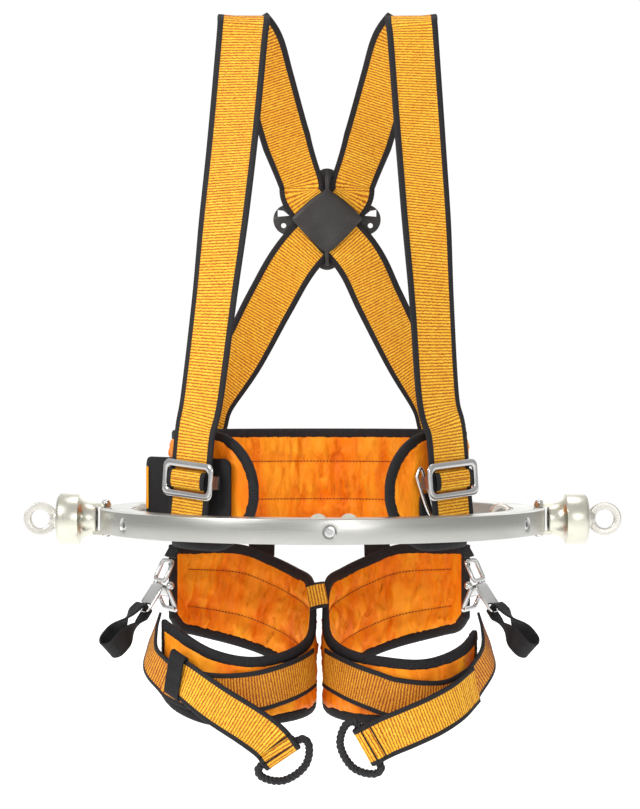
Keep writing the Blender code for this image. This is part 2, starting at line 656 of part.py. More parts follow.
def build_hip_buckle(name, side):
    """Hanger, wire link, cam-buckle frame, lever and its pull loop, at the outside of the hip."""
    turn, hinge_x, hinge_y = math.radians(HIP_YAW), 148, -14
    wide = Vector((side * math.sin(turn), math.cos(turn), 0))  # along the buckle's pivots

    def at(x, z, y=0.0):
        """A point of the buckle, turned with it about the hip."""
        dx = x - hinge_x
        return Vector((MID_X + side * (hinge_x + dx * math.cos(turn) + y * math.sin(turn)),
                       hinge_y - dx * math.sin(turn) + y * math.cos(turn), z))

    make(f"hip_hanger_{name}", ribbon([at(136, BELT_LOW - 2), at(139, -31), at(142, -36)],
                                      [at(1, 0) - at(0, 0)] * 3, 26, 2.4), "black_webbing")
    hook, pivot = at(143, -37.5), at(153, -59)
    along = (pivot - hook).normalized()
    link_frame = frame_of((hook + pivot) / 2 + along * 0.3, along.cross(wide) * -side, along)
    make(f"buckle_link_{name}", wire(rounded_loop(link_frame, 27, 20, 4), 1.7), "steel", hook)

    foot = at(140, -90)
    down = (foot - pivot).normalized()
    frame = frame_of((pivot + foot) / 2, wide.cross(down) * side, -down)
    body = make(f"leg_buckle_frame_{name}", block((38, 26, 2.4), frame), "steel", pivot)
    combine(body, "DIFFERENCE", block((29, 7, 10), frame @ Matrix.Translation((0, -6, 0))))
    for way in (-1, 1):
        combine(body, "UNION", block((2.6, 17, 9), frame @ Matrix.Translation((way * 17.7, 11, 3.5))))

    tip = at(171, -87)
    out = (tip - pivot).normalized()
    start = pivot + out * 1.5
    frame = frame_of((start + tip) / 2, wide.cross(out) * side, -out)
    lever = make(f"buckle_lever_{name}", block((31, (tip - start).length, 3), frame), "steel", pivot)
    combine(lever, "DIFFERENCE", block((26, 6.6, 10), frame @ Matrix.Translation((0, -10.5, 0))))

    slot = frame @ Vector((0, -10.5, 0))
    reach = (at(207, -124, 0) - slot).normalized()
    through = (frame.to_3x3() @ Z - reach * (frame.to_3x3() @ Z).dot(reach)).normalized()
    turned_to = reach.cross(through)
    if turned_to.y > 0:
        turned_to = -turned_to
    outline = [(0, 4.5), (0, 0), (0, -4.5), (10, -6), (23, -6.5), (37, -8), (49, -7), (54, 0),
               (49, 7), (37, 8), (23, 6.5), (10, 6)]
    points, normals = [], []
    outline = smoothed([*outline, outline[0]], 3)[:-1]
    for (l, t), run in zip(outline, directions([Vector((*p, 0)) for p in outline], True)):
        share = min(max((l - 8) / 30, 0), 1)
        twist = math.radians(PULL_TWIST) * share * share * (3 - 2 * share)
        side_way = through * math.cos(twist) + turned_to * math.sin(twist)
        points.append(slot + reach * l + side_way * t)
        normals.append(reach * -run.y + side_way * run.x)
    make(f"pull_loop_{name}", ribbon(points, normals, 24, 1.8, closed=True), "black_webbing", slot)


def build_crotch_link():
    """A saddle of webbing over the inner top edges of both leg loops."""
    slope = Vector((0, -0.755, -0.656)).normalized()  # the way the top edges fall to the front
    up = Vector((0, slope.z, -slope.y))
    saddle = [(-10.3, -0.5), (-8, 0), (-3, 0.5), (2, 0), (4.3, -0.5)]
    points, normals = [], []
    path = smoothed(saddle, 2)
    for (x, lift), run in zip(path, directions([Vector((*p, 0)) for p in path], False)):
        points.append(Vector((x, -0.5, -70.9)) + up * lift)
        normals.append(X * -run.y + up * run.x)
    make("crotch_link", ribbon(points, normals, 30, 2.2), "webbing")


def main():
    clear_scene()
    build_rings()
    for name, side in SIDES.items():
        build_swivel(name, side)
    build_inner_fittings()
    build_belt()
    build_shoulders()
    for name, side in SIDES.items():
        build_leg(name, side)
    build_crotch_link()


main()
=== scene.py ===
"""Looks of the twisting-ring safety harness, built round its CAD frame.

Lengths are millimetres and angles degrees, in the CAD frame: X along the swivel axis,
Y towards the wearer's back, Z up. make() turns each mesh into metres.
"""

import math
import random

import bmesh
import bpy
from mathutils import Matrix, Vector, kdtree, noise


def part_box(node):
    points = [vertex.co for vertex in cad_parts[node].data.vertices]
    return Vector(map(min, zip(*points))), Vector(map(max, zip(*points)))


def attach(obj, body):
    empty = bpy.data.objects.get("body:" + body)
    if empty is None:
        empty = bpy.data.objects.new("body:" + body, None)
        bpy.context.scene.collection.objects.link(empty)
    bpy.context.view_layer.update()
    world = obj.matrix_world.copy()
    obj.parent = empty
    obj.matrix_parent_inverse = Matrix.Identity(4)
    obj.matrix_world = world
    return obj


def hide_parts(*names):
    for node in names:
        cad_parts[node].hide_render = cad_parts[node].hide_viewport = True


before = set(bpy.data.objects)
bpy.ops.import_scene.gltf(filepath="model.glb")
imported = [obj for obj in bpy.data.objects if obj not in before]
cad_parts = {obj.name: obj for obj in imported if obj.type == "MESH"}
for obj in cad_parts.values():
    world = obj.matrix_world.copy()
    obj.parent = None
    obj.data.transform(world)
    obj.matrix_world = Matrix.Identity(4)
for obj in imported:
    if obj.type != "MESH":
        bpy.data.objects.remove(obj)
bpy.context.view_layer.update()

MM = 0.001
SIDES = {"left": -1, "right": 1}
X, Y, Z = Vector((1, 0, 0)), Vector((0, 1, 0)), Vector((0, 0, 1))


# ---------------------------------------------------------------- frame dimensions


def node_box(node):
    """A CAD node's low and high corners, in millimetres."""
    low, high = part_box(node)
    return Vector(low) / MM, Vector(high) / MM


RING_R, RING_HALF = 212.5, node_box("outer_ring")[1].z
INNER_R, INNER_OUT_R, OUTER_IN_R = 182.5, 202.3, 202.9
ROLLER_R, EAR_SCREW_X, EYE_X = 197.7, 207.7, 270.5
ROLLER_ANGLES = (1.6, 61.6, 121.6, 181.6, 241.6, 301.6)
WEBBING, LEG_WEBBING = 50, 38
MID_X = -3
BELT = ((MID_X, -6), 138, 118)
BELT_LOW, BELT_HIGH = (corner.z for corner in node_box("belt_pad"))
BELT_START, BELT_END, WING_R = -156, 154, 51
BELT_QUILT, LEG_QUILT = (0.19, 0.81), (0.06, 0.46)  # the sewn share of each pad's length


# ---------------------------------------------------------------- meshes


def make(name, bm, surface, body="harness", replaces=()):
    """An object in metres from a mesh in millimetres, riding on a body."""
    bmesh.ops.recalc_face_normals(bm, faces=bm.faces)
    bmesh.ops.scale(bm, vec=(MM, MM, MM), verts=bm.verts)
    for face in bm.faces:
        face.smooth = True
    mesh = bpy.data.meshes.new(name)
    bm.to_mesh(mesh)
    bm.free()
    mesh.materials.append(MATERIALS[surface])
    obj = bpy.data.objects.new(name, mesh)
    bpy.context.scene.collection.objects.link(obj)
    if body:
        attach(obj, body)
        if replaces:
            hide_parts(*replaces)
    return obj


def apply_modifiers(obj):
    """Bakes an object's modifiers into its mesh."""
    graph = bpy.context.evaluated_depsgraph_get()
    mesh = bpy.data.meshes.new_from_object(obj.evaluated_get(graph), depsgraph=graph)
    obj.modifiers.clear()
    obj.data = mesh


def loft(rings, closed=False, uv=None):
    """A closed solid through rings of points; uv gives (u, v) for ring i and corner k."""
    bm = bmesh.new()
    layer = bm.loops.layers.uv.new("weave")
    verts = [[bm.verts.new(point) for point in ring] for ring in rings]
    count, total = len(rings[0]), len(rings)

    def face(corners):
        made = bm.faces.new([verts[i % total][k % count] for i, k in corners])
        if uv:
            for loop, (i, k) in zip(made.loops, corners):
                loop[layer].uv = uv(i, k)

    if not closed:
        face([(0, k) for k in range(count)])
        face([(total - 1, k) for k in range(count)])
    for i in range(total if closed else total - 1):
        for k in range(count):
            face([(i, k), (i, k + 1), (i + 1, k + 1), (i + 1, k)])
    return bm


def smoothed(rows, steps):
    """A Catmull-Rom curve through rows of numbers."""
    rows = [Vector(row) for row in rows]
    padded = [2 * rows[0] - rows[1], *rows, 2 * rows[-1] - rows[-2]]
    points = []
    for a, b, c, d in zip(padded, padded[1:], padded[2:], padded[3:]):
        for step in range(steps):
            t = step / steps
            points.append(0.5 * (2 * b + (c - a) * t + (2 * a - 5 * b + 4 * c - d) * t ** 2
                                 + (3 * b - a - 3 * c + d) * t ** 3))
    return [*points, rows[-1]]


def spaced(points, normals, pitch):
    """A path and its normals at even steps along its length, and the step."""
    lengths = [0.0]
    for a, b in zip(points, points[1:]):
        lengths.append(lengths[-1] + (b - a).length)
    count = max(2, round(lengths[-1] / pitch))
    step = lengths[-1] / count
    out_points, out_normals, j = [], [], 0
    for i in range(count + 1):
        want = min(i * step, lengths[-1] - 1e-6)
        while lengths[j + 1] < want:
            j += 1
        t = (want - lengths[j]) / (lengths[j + 1] - lengths[j])
        out_points.append(points[j].lerp(points[j + 1], t))
        out_normals.append(normals[j].lerp(normals[j + 1], t).normalized())
    return out_points, out_normals, step


def directions(points, closed=False):
    """The direction of a path at each of its points."""
    last = len(points) - 1
    found = []
    for i, _ in enumerate(points):
        before = points[i - 1] if i or closed else points[0]
        after = points[(i + 1) % len(points)] if i < last or closed else points[last]
        found.append((after - before).normalized())
    return found


def wire(points, radius, closed=True, sides=16, bumps=None):
    """A round wire along a path; bumps(i, angle) adds to its radius."""
    rings, side = [], None
    for i, (point, along) in enumerate(zip(points, directions(points, closed))):
        side = side - along * side.dot(along) if side else along.orthogonal()
        side.normalize()
        up = along.cross(side)
        ring = []
        for k in range(sides):
            a = 2 * math.pi * k / sides
            r = radius + (bumps(i, a) if bumps else 0)
            ring.append(point + r * (math.cos(a) * side + math.sin(a) * up))
        rings.append(ring)
    return loft(rings, closed, lambda i, k: (k / sides * 0.02, i * 0.001))


def webbing(name, points, normals, width, surface, replaces=(), thick=2.2, pitch=2.8,
            edge=6.0, closed=False, body="harness", width_at=None, ridges=()):
    """Woven webbing with a real rib at each pitch and a rounded selvedge along both edges.

    width_at gives a share of the width at a point, and ridges are (distance from the path's end,
    height) of sewn folds across the front face.
    """
    points, normals, step = spaced(points, normals, pitch / 2)
    if closed:
        points, normals = points[:-1], normals[:-1]
    half, t = width / 2, thick / 2
    inner = half - edge
    spots = [-half + 0.8, -half + edge * 0.5, -inner - 0.3, -inner + 0.3]
    spots += [inner * k / 4 for k in range(-3, 4)]
    spots += [-x for x in reversed(spots[:4])]
    front = [(x, t + (0.25 if abs(x) > inner else 0)) for x in spots]
    outline = [(-half, 0)] + front + [(half, 0)] + [(x, -z) for x, z in reversed(front)]
    rings = []
    for i, (point, normal, along) in enumerate(zip(points, normals, directions(points, closed))):
        across = along.cross(normal).normalized()
        out = across.cross(along)
        rib = 0.22 if i % 2 else -0.12
        share = width_at(point) if width_at else 1
        left = (len(points) - 1 - i) * step
        fold = sum(height * max(0.0, 1 - ((left - at) / 4) ** 2) for at, height in ridges)
        ring = []
        for x, z in outline:
            grow = rib * (0.6 if abs(x) > inner else 1) * (1 if z > 0 else -1 if z < 0 else 0)
            ring.append(point + across * x * share + out * (z + grow + (fold if z > 0 else 0)))
        rings.append(ring)
    us = [x * MM for x, _ in outline]
    bm = loft(rings, closed, lambda i, k: (us[k % len(us)], i * step * MM))
    return make(name, bm, surface, body, replaces)


def oval(shape, angle, offset=0.0):
    """(point, outward normal) on an oval; angle 0 is the back and 90 is +X."""
    (x, y), wide, deep = shape
    s, c = math.sin(math.radians(angle)), math.cos(math.radians(angle))
    normal = Vector((s / wide, c / deep, 0)).normalized()
    return Vector((x + wide * s, y + deep * c, 0)) + offset * normal, normal


# ---------------------------------------------------------------- materials


class Tree:
    """Short ways to add and join the nodes of a tree."""

    def __init__(self, tree):
        self.tree = tree

    def add(self, kind):
        return self.tree.nodes.new("ShaderNode" + kind)

    def link(self, value, socket):
        if isinstance(value, bpy.types.NodeSocket):
            self.tree.links.new(value, socket)
        elif hasattr(value, "__len__") and len(value) == 3 and len(socket.default_value) == 4:
            socket.default_value = (*value, 1)
        else:
            socket.default_value = value

    def math(self, operation, *values):
        node = self.add("Math")
        node.operation = operation
        for value, socket in zip(values, node.inputs):
            self.link(value, socket)
        return node.outputs[0]

    def ramp(self, value, low, high, to_low=0.0, to_high=1.0):
        node = self.add("MapRange")
        for given, socket in zip((value, low, high, to_low, to_high), node.inputs):
            self.link(given, socket)
        return node.outputs[0]

    def split(self, vector):
        node = self.add("SeparateXYZ")
        self.tree.links.new(vector, node.inputs[0])
        return node.outputs


class Surface(Tree):
    """A material built round a Principled BSDF."""

    def __init__(self, name, colour, roughness, metallic=0.0, **inputs):
        self.material = bpy.data.materials.new(name)
        self.material.use_nodes = True
        super().__init__(self.material.node_tree)
        self.shader = self.tree.nodes["Principled BSDF"]
        self.shader.inputs["Base Color"].default_value = (*colour, 1)
        self.shader.inputs["Roughness"].default_value = roughness
        self.shader.inputs["Metallic"].default_value = metallic
        for key, value in inputs.items():
            self.shader.inputs[key.replace("_", " ").title()].default_value = value
        self.coordinates = None

    def mix(self, share, first, second):
        node = self.add("Mix")
        node.data_type = "RGBA"
        self.link(share, node.inputs["Factor"])
        self.link(first, node.inputs[6])
        self.link(second, node.inputs[7])
        return node.outputs[2]

    def weave(self):
        """The across and along places on webbing, in metres."""
        node = self.add("UVMap")
        node.uv_map = "weave"
        return self.split(node.outputs[0])[:2]

    def noise(self, scale, detail=3, stretch=(1, 1, 1)):
        if not self.coordinates:
            self.coordinates = self.add("TexCoord")
        mapping, node = self.add("Mapping"), self.add("TexNoise")
        mapping.inputs["Scale"].default_value = stretch
        self.tree.links.new(self.coordinates.outputs["Object"], mapping.inputs["Vector"])
        node.inputs["Scale"].default_value = scale
        node.inputs["Detail"].default_value = detail
        self.tree.links.new(mapping.outputs[0], node.inputs["Vector"])
        return node.outputs[0]

    def bump(self, height, strength, distance):
        node = self.add("Bump")
        node.inputs["Strength"].default_value = strength
        node.inputs["Distance"].default_value = distance
        self.tree.links.new(height, node.inputs["Height"])
        self.tree.links.new(node.outputs[0], self.shader.inputs["Normal"])

    def use(self, **sockets):
        for key, value in sockets.items():
            self.tree.links.new(value, self.shader.inputs[key.replace("_", " ").title()])
        return self.material


def wave(n, place, pitch):
    """A sine over a place in metres, from 0 to 1."""
    angle = n.math("MULTIPLY", place, 2 * math.pi / (pitch * MM))
    return n.math("MULTIPLY_ADD", n.math("SINE", angle), 0.5, 0.5)


def webbing_material(name, width, edge=6.0, pitch=2.8, dark=(0.40, 0.085, 0.004),
                     gold=(0.88, 0.45, 0.020), bright=(1.0, 0.76, 0.08)):
    """Yellow-orange ribbed webbing with black selvedges."""
    n = Surface(name, gold, 0.65)
    n.shader.inputs["Specular IOR Level"].default_value = 0.3
    u, v = n.weave()
    fuzz = n.noise(460, 3)
    rib = wave(n, n.math("MULTIPLY_ADD", fuzz, 0.0022, v), pitch)
    twill = wave(n, n.math("MULTIPLY_ADD", v, 0.9, u), 1.15)
    speck = n.ramp(n.noise(950, 2), 0.35, 0.65, 0.5, 1.15)
    yarn = n.math("MULTIPLY", rib, n.math("MULTIPLY", speck, n.ramp(twill, 0.0, 1.0, 0.6, 1.0)))
    patchy = n.noise(60, 4, (1, 1, 1))
    body = n.mix(n.ramp(yarn, 0.02, 0.42), dark, gold)
    body = n.mix(n.ramp(n.math("MULTIPLY", yarn, n.ramp(patchy, 0.3, 0.7, 0.75, 1.15)), 0.5, 1.0),
                 body, bright)
    black = n.mix(wave(n, v, pitch / 2), (0.003, 0.003, 0.0035), (0.018, 0.016, 0.019))
    edge_at = (width / 2 - edge) * MM
    share = n.ramp(n.math("ABSOLUTE", u), edge_at - 0.0002, edge_at + 0.0002)
    n.bump(n.math("MULTIPLY", n.math("ADD", yarn, twill), 0.5), 0.5, 0.0004)
    return n.use(base_color=n.mix(share, body, black))


def black_webbing_material(name, pitch=1.6, tone=1.0):
    n = Surface(name, (0.012, 0.012, 0.013), 0.7)
    n.shader.inputs["Specular IOR Level"].default_value = 0.25
    u, v = n.weave()
    rib = wave(n, v, pitch)
    yarn = n.math("MULTIPLY", rib, n.ramp(wave(n, u, 1.1), 0, 1, 0.6, 1.0))
    fuzz = n.noise(220, 4)
    low = tuple(c * tone for c in (0.003, 0.003, 0.0035))
    high = tuple(c * tone for c in (0.024, 0.022, 0.025))
    n.bump(yarn, 0.55, 0.0004)
    return n.use(base_color=n.mix(n.math("MULTIPLY", yarn, n.ramp(fuzz, 0.3, 0.7, 0.6, 1.2)), low,
                                  high))


def satin_material(name, base=(0.94, 0.24, 0.004), dark=(0.60, 0.075, 0.002),
                   bright=(1.0, 0.42, 0.02)):
    """Orange lining satin with a fine weave, soft tonal drift, painted shade in its creases and
    painted highlights beside them.
    """
    n = Surface(name, base, 0.45, specular_tint=(1.0, 0.7, 0.4, 1))
    n.shader.inputs["Specular IOR Level"].default_value = 0.35
    drift = n.noise(16, 3)
    crease = n.noise(60, 5, (1.0, 1.0, 0.3))
    pucker = n.noise(130, 3, (1.0, 1.0, 0.45))
    valley = n.math("ABSOLUTE", n.math("SUBTRACT", n.noise(24, 1, (1.0, 1.0, 0.32)), 0.5))
    tone = n.mix(n.ramp(drift, 0.35, 0.65, 0.0, 0.25), base, dark)
    # Painted shade where the crease noise dips and painted highlight where it rises, in step with
    # the bump below.
    tone = n.mix(n.ramp(crease, 0.48, 0.3, 0.0, 0.5), tone, dark)
    tone = n.mix(n.ramp(crease, 0.52, 0.72, 0.0, 0.6), tone, bright)
    # Painted shade along each fold's valley line and painted highlight on its flanks, in step with
    # the bump below.
    tone = n.mix(n.ramp(valley, 0.022, 0.0, 0.0, 0.3), tone, dark)
    tone = n.mix(n.ramp(valley, 0.06, 0.16, 0.0, 0.5), tone, bright)
    weave = n.noise(2600, 1, (0.35, 0.35, 1.0))
    height = n.math("MULTIPLY_ADD", pucker, 0.45, n.math("MULTIPLY_ADD", weave, 0.06, crease))
    height = n.math("MULTIPLY_ADD", n.ramp(valley, 0.0, 0.12), 0.6, height)
    n.bump(height, 1.0, 0.0034)
    return n.use(base_color=tone, roughness=n.ramp(crease, 0.3, 0.7, 0.38, 0.52))


def metal_material(name, colour, roughness, grain=0.05, stretch=(1, 1, 1), scale=180.0,
                   metallic=1.0):
    """Metal with a directional finish and slight wear in its gloss."""
    n = Surface(name, colour, roughness, metallic)
    streak = n.noise(scale, 4, stretch)
    wear = n.noise(22, 4)
    shade = n.mix(n.ramp(wear, 0.3, 0.7, 0.0, 0.5), colour, tuple(c * 0.86 for c in colour))
    rough = n.math("ADD", n.ramp(streak, 0.3, 0.7, roughness - grain, roughness + grain),
                   n.ramp(wear, 0.3, 0.7, -grain / 2, grain / 2))
    n.bump(streak, 0.06, 0.0002)
    return n.use(base_color=shade, roughness=rough)


def plate_material():
    """Dark moulded leather-like plate with a soft grain."""
    n = Surface("cross_plate", (0.035, 0.035, 0.037), 0.45)
    grain = n.noise(420, 5)
    n.bump(grain, 0.25, 0.0004)
    return n.use(base_color=n.mix(n.ramp(n.noise(40, 3), 0.3, 0.7), (0.011, 0.011, 0.012),
                                  (0.026, 0.025, 0.026)),
                 roughness=n.ramp(grain, 0.3, 0.7, 0.38, 0.55))


def cord_material():
    n = Surface("braided_cord", (0.012, 0.012, 0.013), 0.65)
    n.shader.inputs["Specular IOR Level"].default_value = 0.3
    fuzz = n.noise(900, 3)
    n.bump(fuzz, 0.4, 0.0003)
    return n.use(base_color=n.mix(n.ramp(fuzz, 0.35, 0.7), (0.004, 0.004, 0.005),
                                  (0.030, 0.029, 0.032)))


MATERIALS = {
    "webbing": webbing_material("webbing_50", WEBBING),
    "leg_webbing": webbing_material("webbing_38", LEG_WEBBING, 4.5),
    # A darker copy of the 38 mm webbing for the strap over the leg's front: painted shade.
    "shaded_leg_webbing": webbing_material("webbing_38_shaded", LEG_WEBBING, 4.5, 2.8, (0.26, 0.035, 0.003),
                                 (0.66, 0.26, 0.012), (0.92, 0.50, 0.04)),
    "fold": webbing_material("webbing_46", 46, 5.0, 2.4),
    "small_webbing": webbing_material("webbing_34", 34, 3.5),
    "black": black_webbing_material("black_webbing"),
    "binding": black_webbing_material("black_binding", 1.3, 1.2),
    "band": black_webbing_material("closing_band", 0.9, 0.9),
    "satin": satin_material("orange_satin"),
    "stripe": satin_material("gold_satin", (0.95, 0.36, 0.01), (0.75, 0.2, 0.006), (1, 0.5, 0.04)),
    "thread": Surface("dark_thread", (0.13, 0.008, 0.004), 0.6).material,
    "aluminium": metal_material("turned_aluminium", (0.46, 0.46, 0.43), 0.34, 0.06,
                                (0.15, 0.15, 6)),
    "nickel": metal_material("satin_nickel", (0.62, 0.61, 0.52), 0.32, 0.05, (6, 0.3, 0.3)),
    "eye": metal_material("pale_eye_metal", (0.62, 0.60, 0.55), 0.38, 0.06, (1, 1, 1), 90, 0.7),
    "steel": metal_material("polished_steel", (0.55, 0.545, 0.54), 0.20, 0.05, (1, 1, 1), 60),
    "screw": metal_material("screw_steel", (0.62, 0.62, 0.61), 0.22, 0.05, (1, 1, 1), 120),
    "nylon": metal_material("roller_nylon", (0.72, 0.70, 0.62), 0.5, 0.04, (1, 1, 1), 60, 0.0),
    "plate": plate_material(),
    "cord": cord_material(),
}
SLOTS = {  # the material slot of each surface that isn't its own
    "screw": "steel", "eye": "eye_metal", "stripe": "satin",
    **dict.fromkeys(("leg_webbing", "shaded_leg_webbing", "fold", "small_webbing"), "webbing"),
    **dict.fromkeys(("black", "binding", "band", "thread"), "black_webbing"),
}


# ---------------------------------------------------------------- camera and light


def stage_scene():
    camera = bpy.data.cameras.new("photo_camera")
    camera.lens, camera.sensor_width = 92.7, 36
    viewer = bpy.data.objects.new("photo_camera", camera)
    viewer.location = (-0.0024, -2.0, 0.1095)
    viewer.rotation_euler = (math.radians(90), 0, 0)
    bpy.context.scene.collection.objects.link(viewer)
    bpy.context.scene.camera = viewer

    world = bpy.data.worlds.new("studio")
    bpy.context.scene.world = world
    world.use_nodes = True
    n = Tree(world.node_tree)
    background = n.tree.nodes["Background"]
    background.inputs[0].default_value = (1, 1, 1, 1)
    # White behind, softer in front, and dim flags at both sides that shape the metal.
    aside, ahead, _ = n.split(n.add("TexCoord").outputs["Generated"])
    flags = n.ramp(n.math("ABSOLUTE", aside), 0.3, 0.85, 1.02, 0.58)
    n.link(n.math("MINIMUM", flags, n.ramp(ahead, 0.2, 0.75, 0.72, 1.02)), background.inputs[1])

    for name, place, size, power, aim in (
        ("key", (-1.6, -1.3, 1.3), 0.9, 30, (0, 0, 0.12)),
        ("fill", (0.5, -2.2, 0.5), 0.9, 8, (0, 0, 0.1)),
        ("top", (0.1, 0.3, 2.2), 1.4, 12, (0, 0, 0.0)),
        ("back", (0.2, 2.2, 0.9), 1.8, 5, (0, 0, 0.2)),
    ):
        lamp = bpy.data.lights.new(name, "AREA")
        lamp.shape, lamp.size, lamp.energy = "DISK", size, power
        holder = bpy.data.objects.new(name, lamp)
        holder.location = place
        look = Vector(aim) - Vector(place)
        holder.rotation_euler = look.to_track_quat("-Z", "Y").to_euler()
        bpy.context.scene.collection.objects.link(holder)

    bm = bmesh.new()
    bmesh.ops.create_circle(bm, cap_ends=True, segments=64, radius=12)
    floor = bpy.data.meshes.new("floor")
    bm.to_mesh(floor)
    bm.free()
    pale = Surface("pale_floor", (0.98, 0.98, 0.98), 0.9, emission_color=(1, 1, 1, 1),
                   emission_strength=0.6)
    floor.materials.append(pale.material)
    ground = bpy.data.objects.new("floor", floor)
    ground.location = (0, 0, -1.1)
    bpy.context.scene.collection.objects.link(ground)
    bpy.context.scene.view_settings.view_transform = "Standard"


# ---------------------------------------------------------------- ring and swivels


def turned(profile, steps, axis=Z, at=(0, 0, 0)):
    """A solid of revolution from (radius, height) points, closed unless it ends on the axis."""
    bm = bmesh.new()
    bm.loops.layers.uv.new("weave")
    corners = [bm.verts.new((r, 0, z)) for r, z in profile]
    edges = [bm.edges.new(pair) for pair in zip(corners, corners[1:])]
    if profile[0][0] > 0:
        edges.append(bm.edges.new((corners[-1], corners[0])))
    bmesh.ops.spin(bm, geom=corners + edges, cent=(0, 0, 0), axis=Z, dvec=(0, 0, 0),
                   angle=2 * math.pi, steps=steps)
    bmesh.ops.remove_doubles(bm, verts=bm.verts, dist=0.01)
    turn = Z.rotation_difference(Vector(axis)).to_matrix().to_4x4()
    half_step = Matrix.Rotation(math.pi / steps, 4, "Z")
    bmesh.ops.transform(bm, matrix=Matrix.Translation(at) @ turn @ half_step, verts=bm.verts)
    return bm


def drum(radius, start, end, steps=32):
    start, end = Vector(start), Vector(end)
    length = (end - start).length
    return turned([(0, 0), (radius, 0), (radius, length), (0, length)], steps, end - start, start)


def block(place, *size):
    """A box centred on a local frame."""
    bm = bmesh.new()
    bmesh.ops.create_cube(bm, size=1, matrix=place @ Matrix.Diagonal((*size, 1)))
    return bm


def cut(obj, bm, operation="DIFFERENCE"):
    """Cuts a tool mesh from an object, or joins it on."""
    tool = make("tool", bm, "steel", body=None)
    modifier = obj.modifiers.new("cut", "BOOLEAN")
    modifier.object, modifier.operation, modifier.solver = tool, operation, "EXACT"
    apply_modifiers(obj)
    bpy.data.objects.remove(tool, do_unlink=True)


def finish_edges(obj, width, segments=2, angle=30):
    """Rounds a machined part's edges and shades it smooth between them."""
    bevel = obj.modifiers.new("edges", "BEVEL")
    bevel.width, bevel.segments, bevel.limit_method = width * MM, segments, "ANGLE"
    bevel.angle_limit = math.radians(angle)
    bevel.harden_normals = True
    apply_modifiers(obj)


def crisp_edges(obj, angle=35):
    """Smooth shading that keeps the machined edges crisp."""
    mesh = obj.data
    for polygon in mesh.polygons:
        polygon.use_smooth = True
    mesh.set_sharp_from_angle(angle=math.radians(angle))


def around(angle, radius, z=0.0):
    a = math.radians(angle - 90)
    return Vector((radius * math.cos(a), radius * math.sin(a), z))


def build_ring():
    h = RING_HALF
    outer = make("ring_outer_race", turned([
        (OUTER_IN_R, -h + 0.4), (OUTER_IN_R + 0.4, -h), (RING_R - 0.9, -h),
        (RING_R - 0.3, -h + 0.3), (RING_R, -h + 0.9), (RING_R, h - 0.9), (RING_R - 0.3, h - 0.3),
        (RING_R - 0.9, h), (OUTER_IN_R + 0.4, h), (OUTER_IN_R, h - 0.4)], 288),
        "aluminium", "ring_frame", ["outer_ring"])
    for angle in ROLLER_ANGLES:
        outward = around(angle, 1)
        cut(outer, turned([(0, -20), (2.75, -20), (2.75, -4.1), (5.2, -4.1), (5.2, -1.4),
                           (6.7, 0.1), (6.7, 3), (0, 3)], 48, outward, outward * RING_R))
    for side in SIDES.values():
        for up in (-1, 1):
            foot = Vector((side * EAR_SCREW_X, 0, up * 4))
            cut(outer, drum(2.1, foot, foot + Z * up * 12, 24))
    crisp_edges(outer)
    inner = make("ring_inner_race", turned([
        (INNER_R, -h + 0.8), (INNER_R + 0.8, -h), (INNER_OUT_R - 0.4, -h), (INNER_OUT_R, -h + 0.4),
        (INNER_OUT_R, -6.3), (193.2, -6.3), (193.2, 6.3), (INNER_OUT_R, 6.3),
        (INNER_OUT_R, h - 0.4), (INNER_OUT_R - 0.4, h), (INNER_R + 0.8, h), (INNER_R, h - 0.8)],
        288), "aluminium", "harness", ["inner_ring"])
    crisp_edges(inner)
    for number, angle in enumerate(ROLLER_ANGLES, 1):
        outward = around(angle, 1)
        head = outward * (RING_R - 0.9)
        screw = make(f"socket_screw_{number}", turned(
            [(0, -18.1), (2.4, -18.1), (2.4, -2.8), (4.9, -2.8), (4.9, -0.5), (4.75, -0.15),
             (4.4, 0), (0, 0)], 48, outward, head), "screw", "ring_frame",
            [f"roller_screw_{number}"])
        cut(screw, turned([(0, -2.2), (2.6, -2.2), (2.6, 1), (0, 1)], 6, outward, head))
        crisp_edges(screw)
        roller = make(f"track_roller_{number}", turned(
            [(2.75, -3.25), (3.6, -3.25), (3.8, -2.9), (5.2, -2.9), (5.4, -3.25), (5.7, -3.1),
             (6, -2.7), (6, 2.7), (5.7, 3.1), (5.4, 3.25), (5.2, 2.9), (3.8, 2.9), (3.6, 3.25),
             (2.75, 3.25)], 48, outward, outward * ROLLER_R), "nylon", f"roller_{number}",
            [f"ring_roller_{number}"])
        crisp_edges(roller)


def ear(side, near, far):
    outline = [(219.6, -9.5), (219.6, 9.5)]
    for step in range(25):
        a = math.radians(90 + 7.5 * step)
        outline.append((212.3 + 9.5 * math.cos(a), 9.5 * math.sin(a)))
    return loft([[Vector((side * x, y, z)) for x, y in outline] for z in (near, far)])


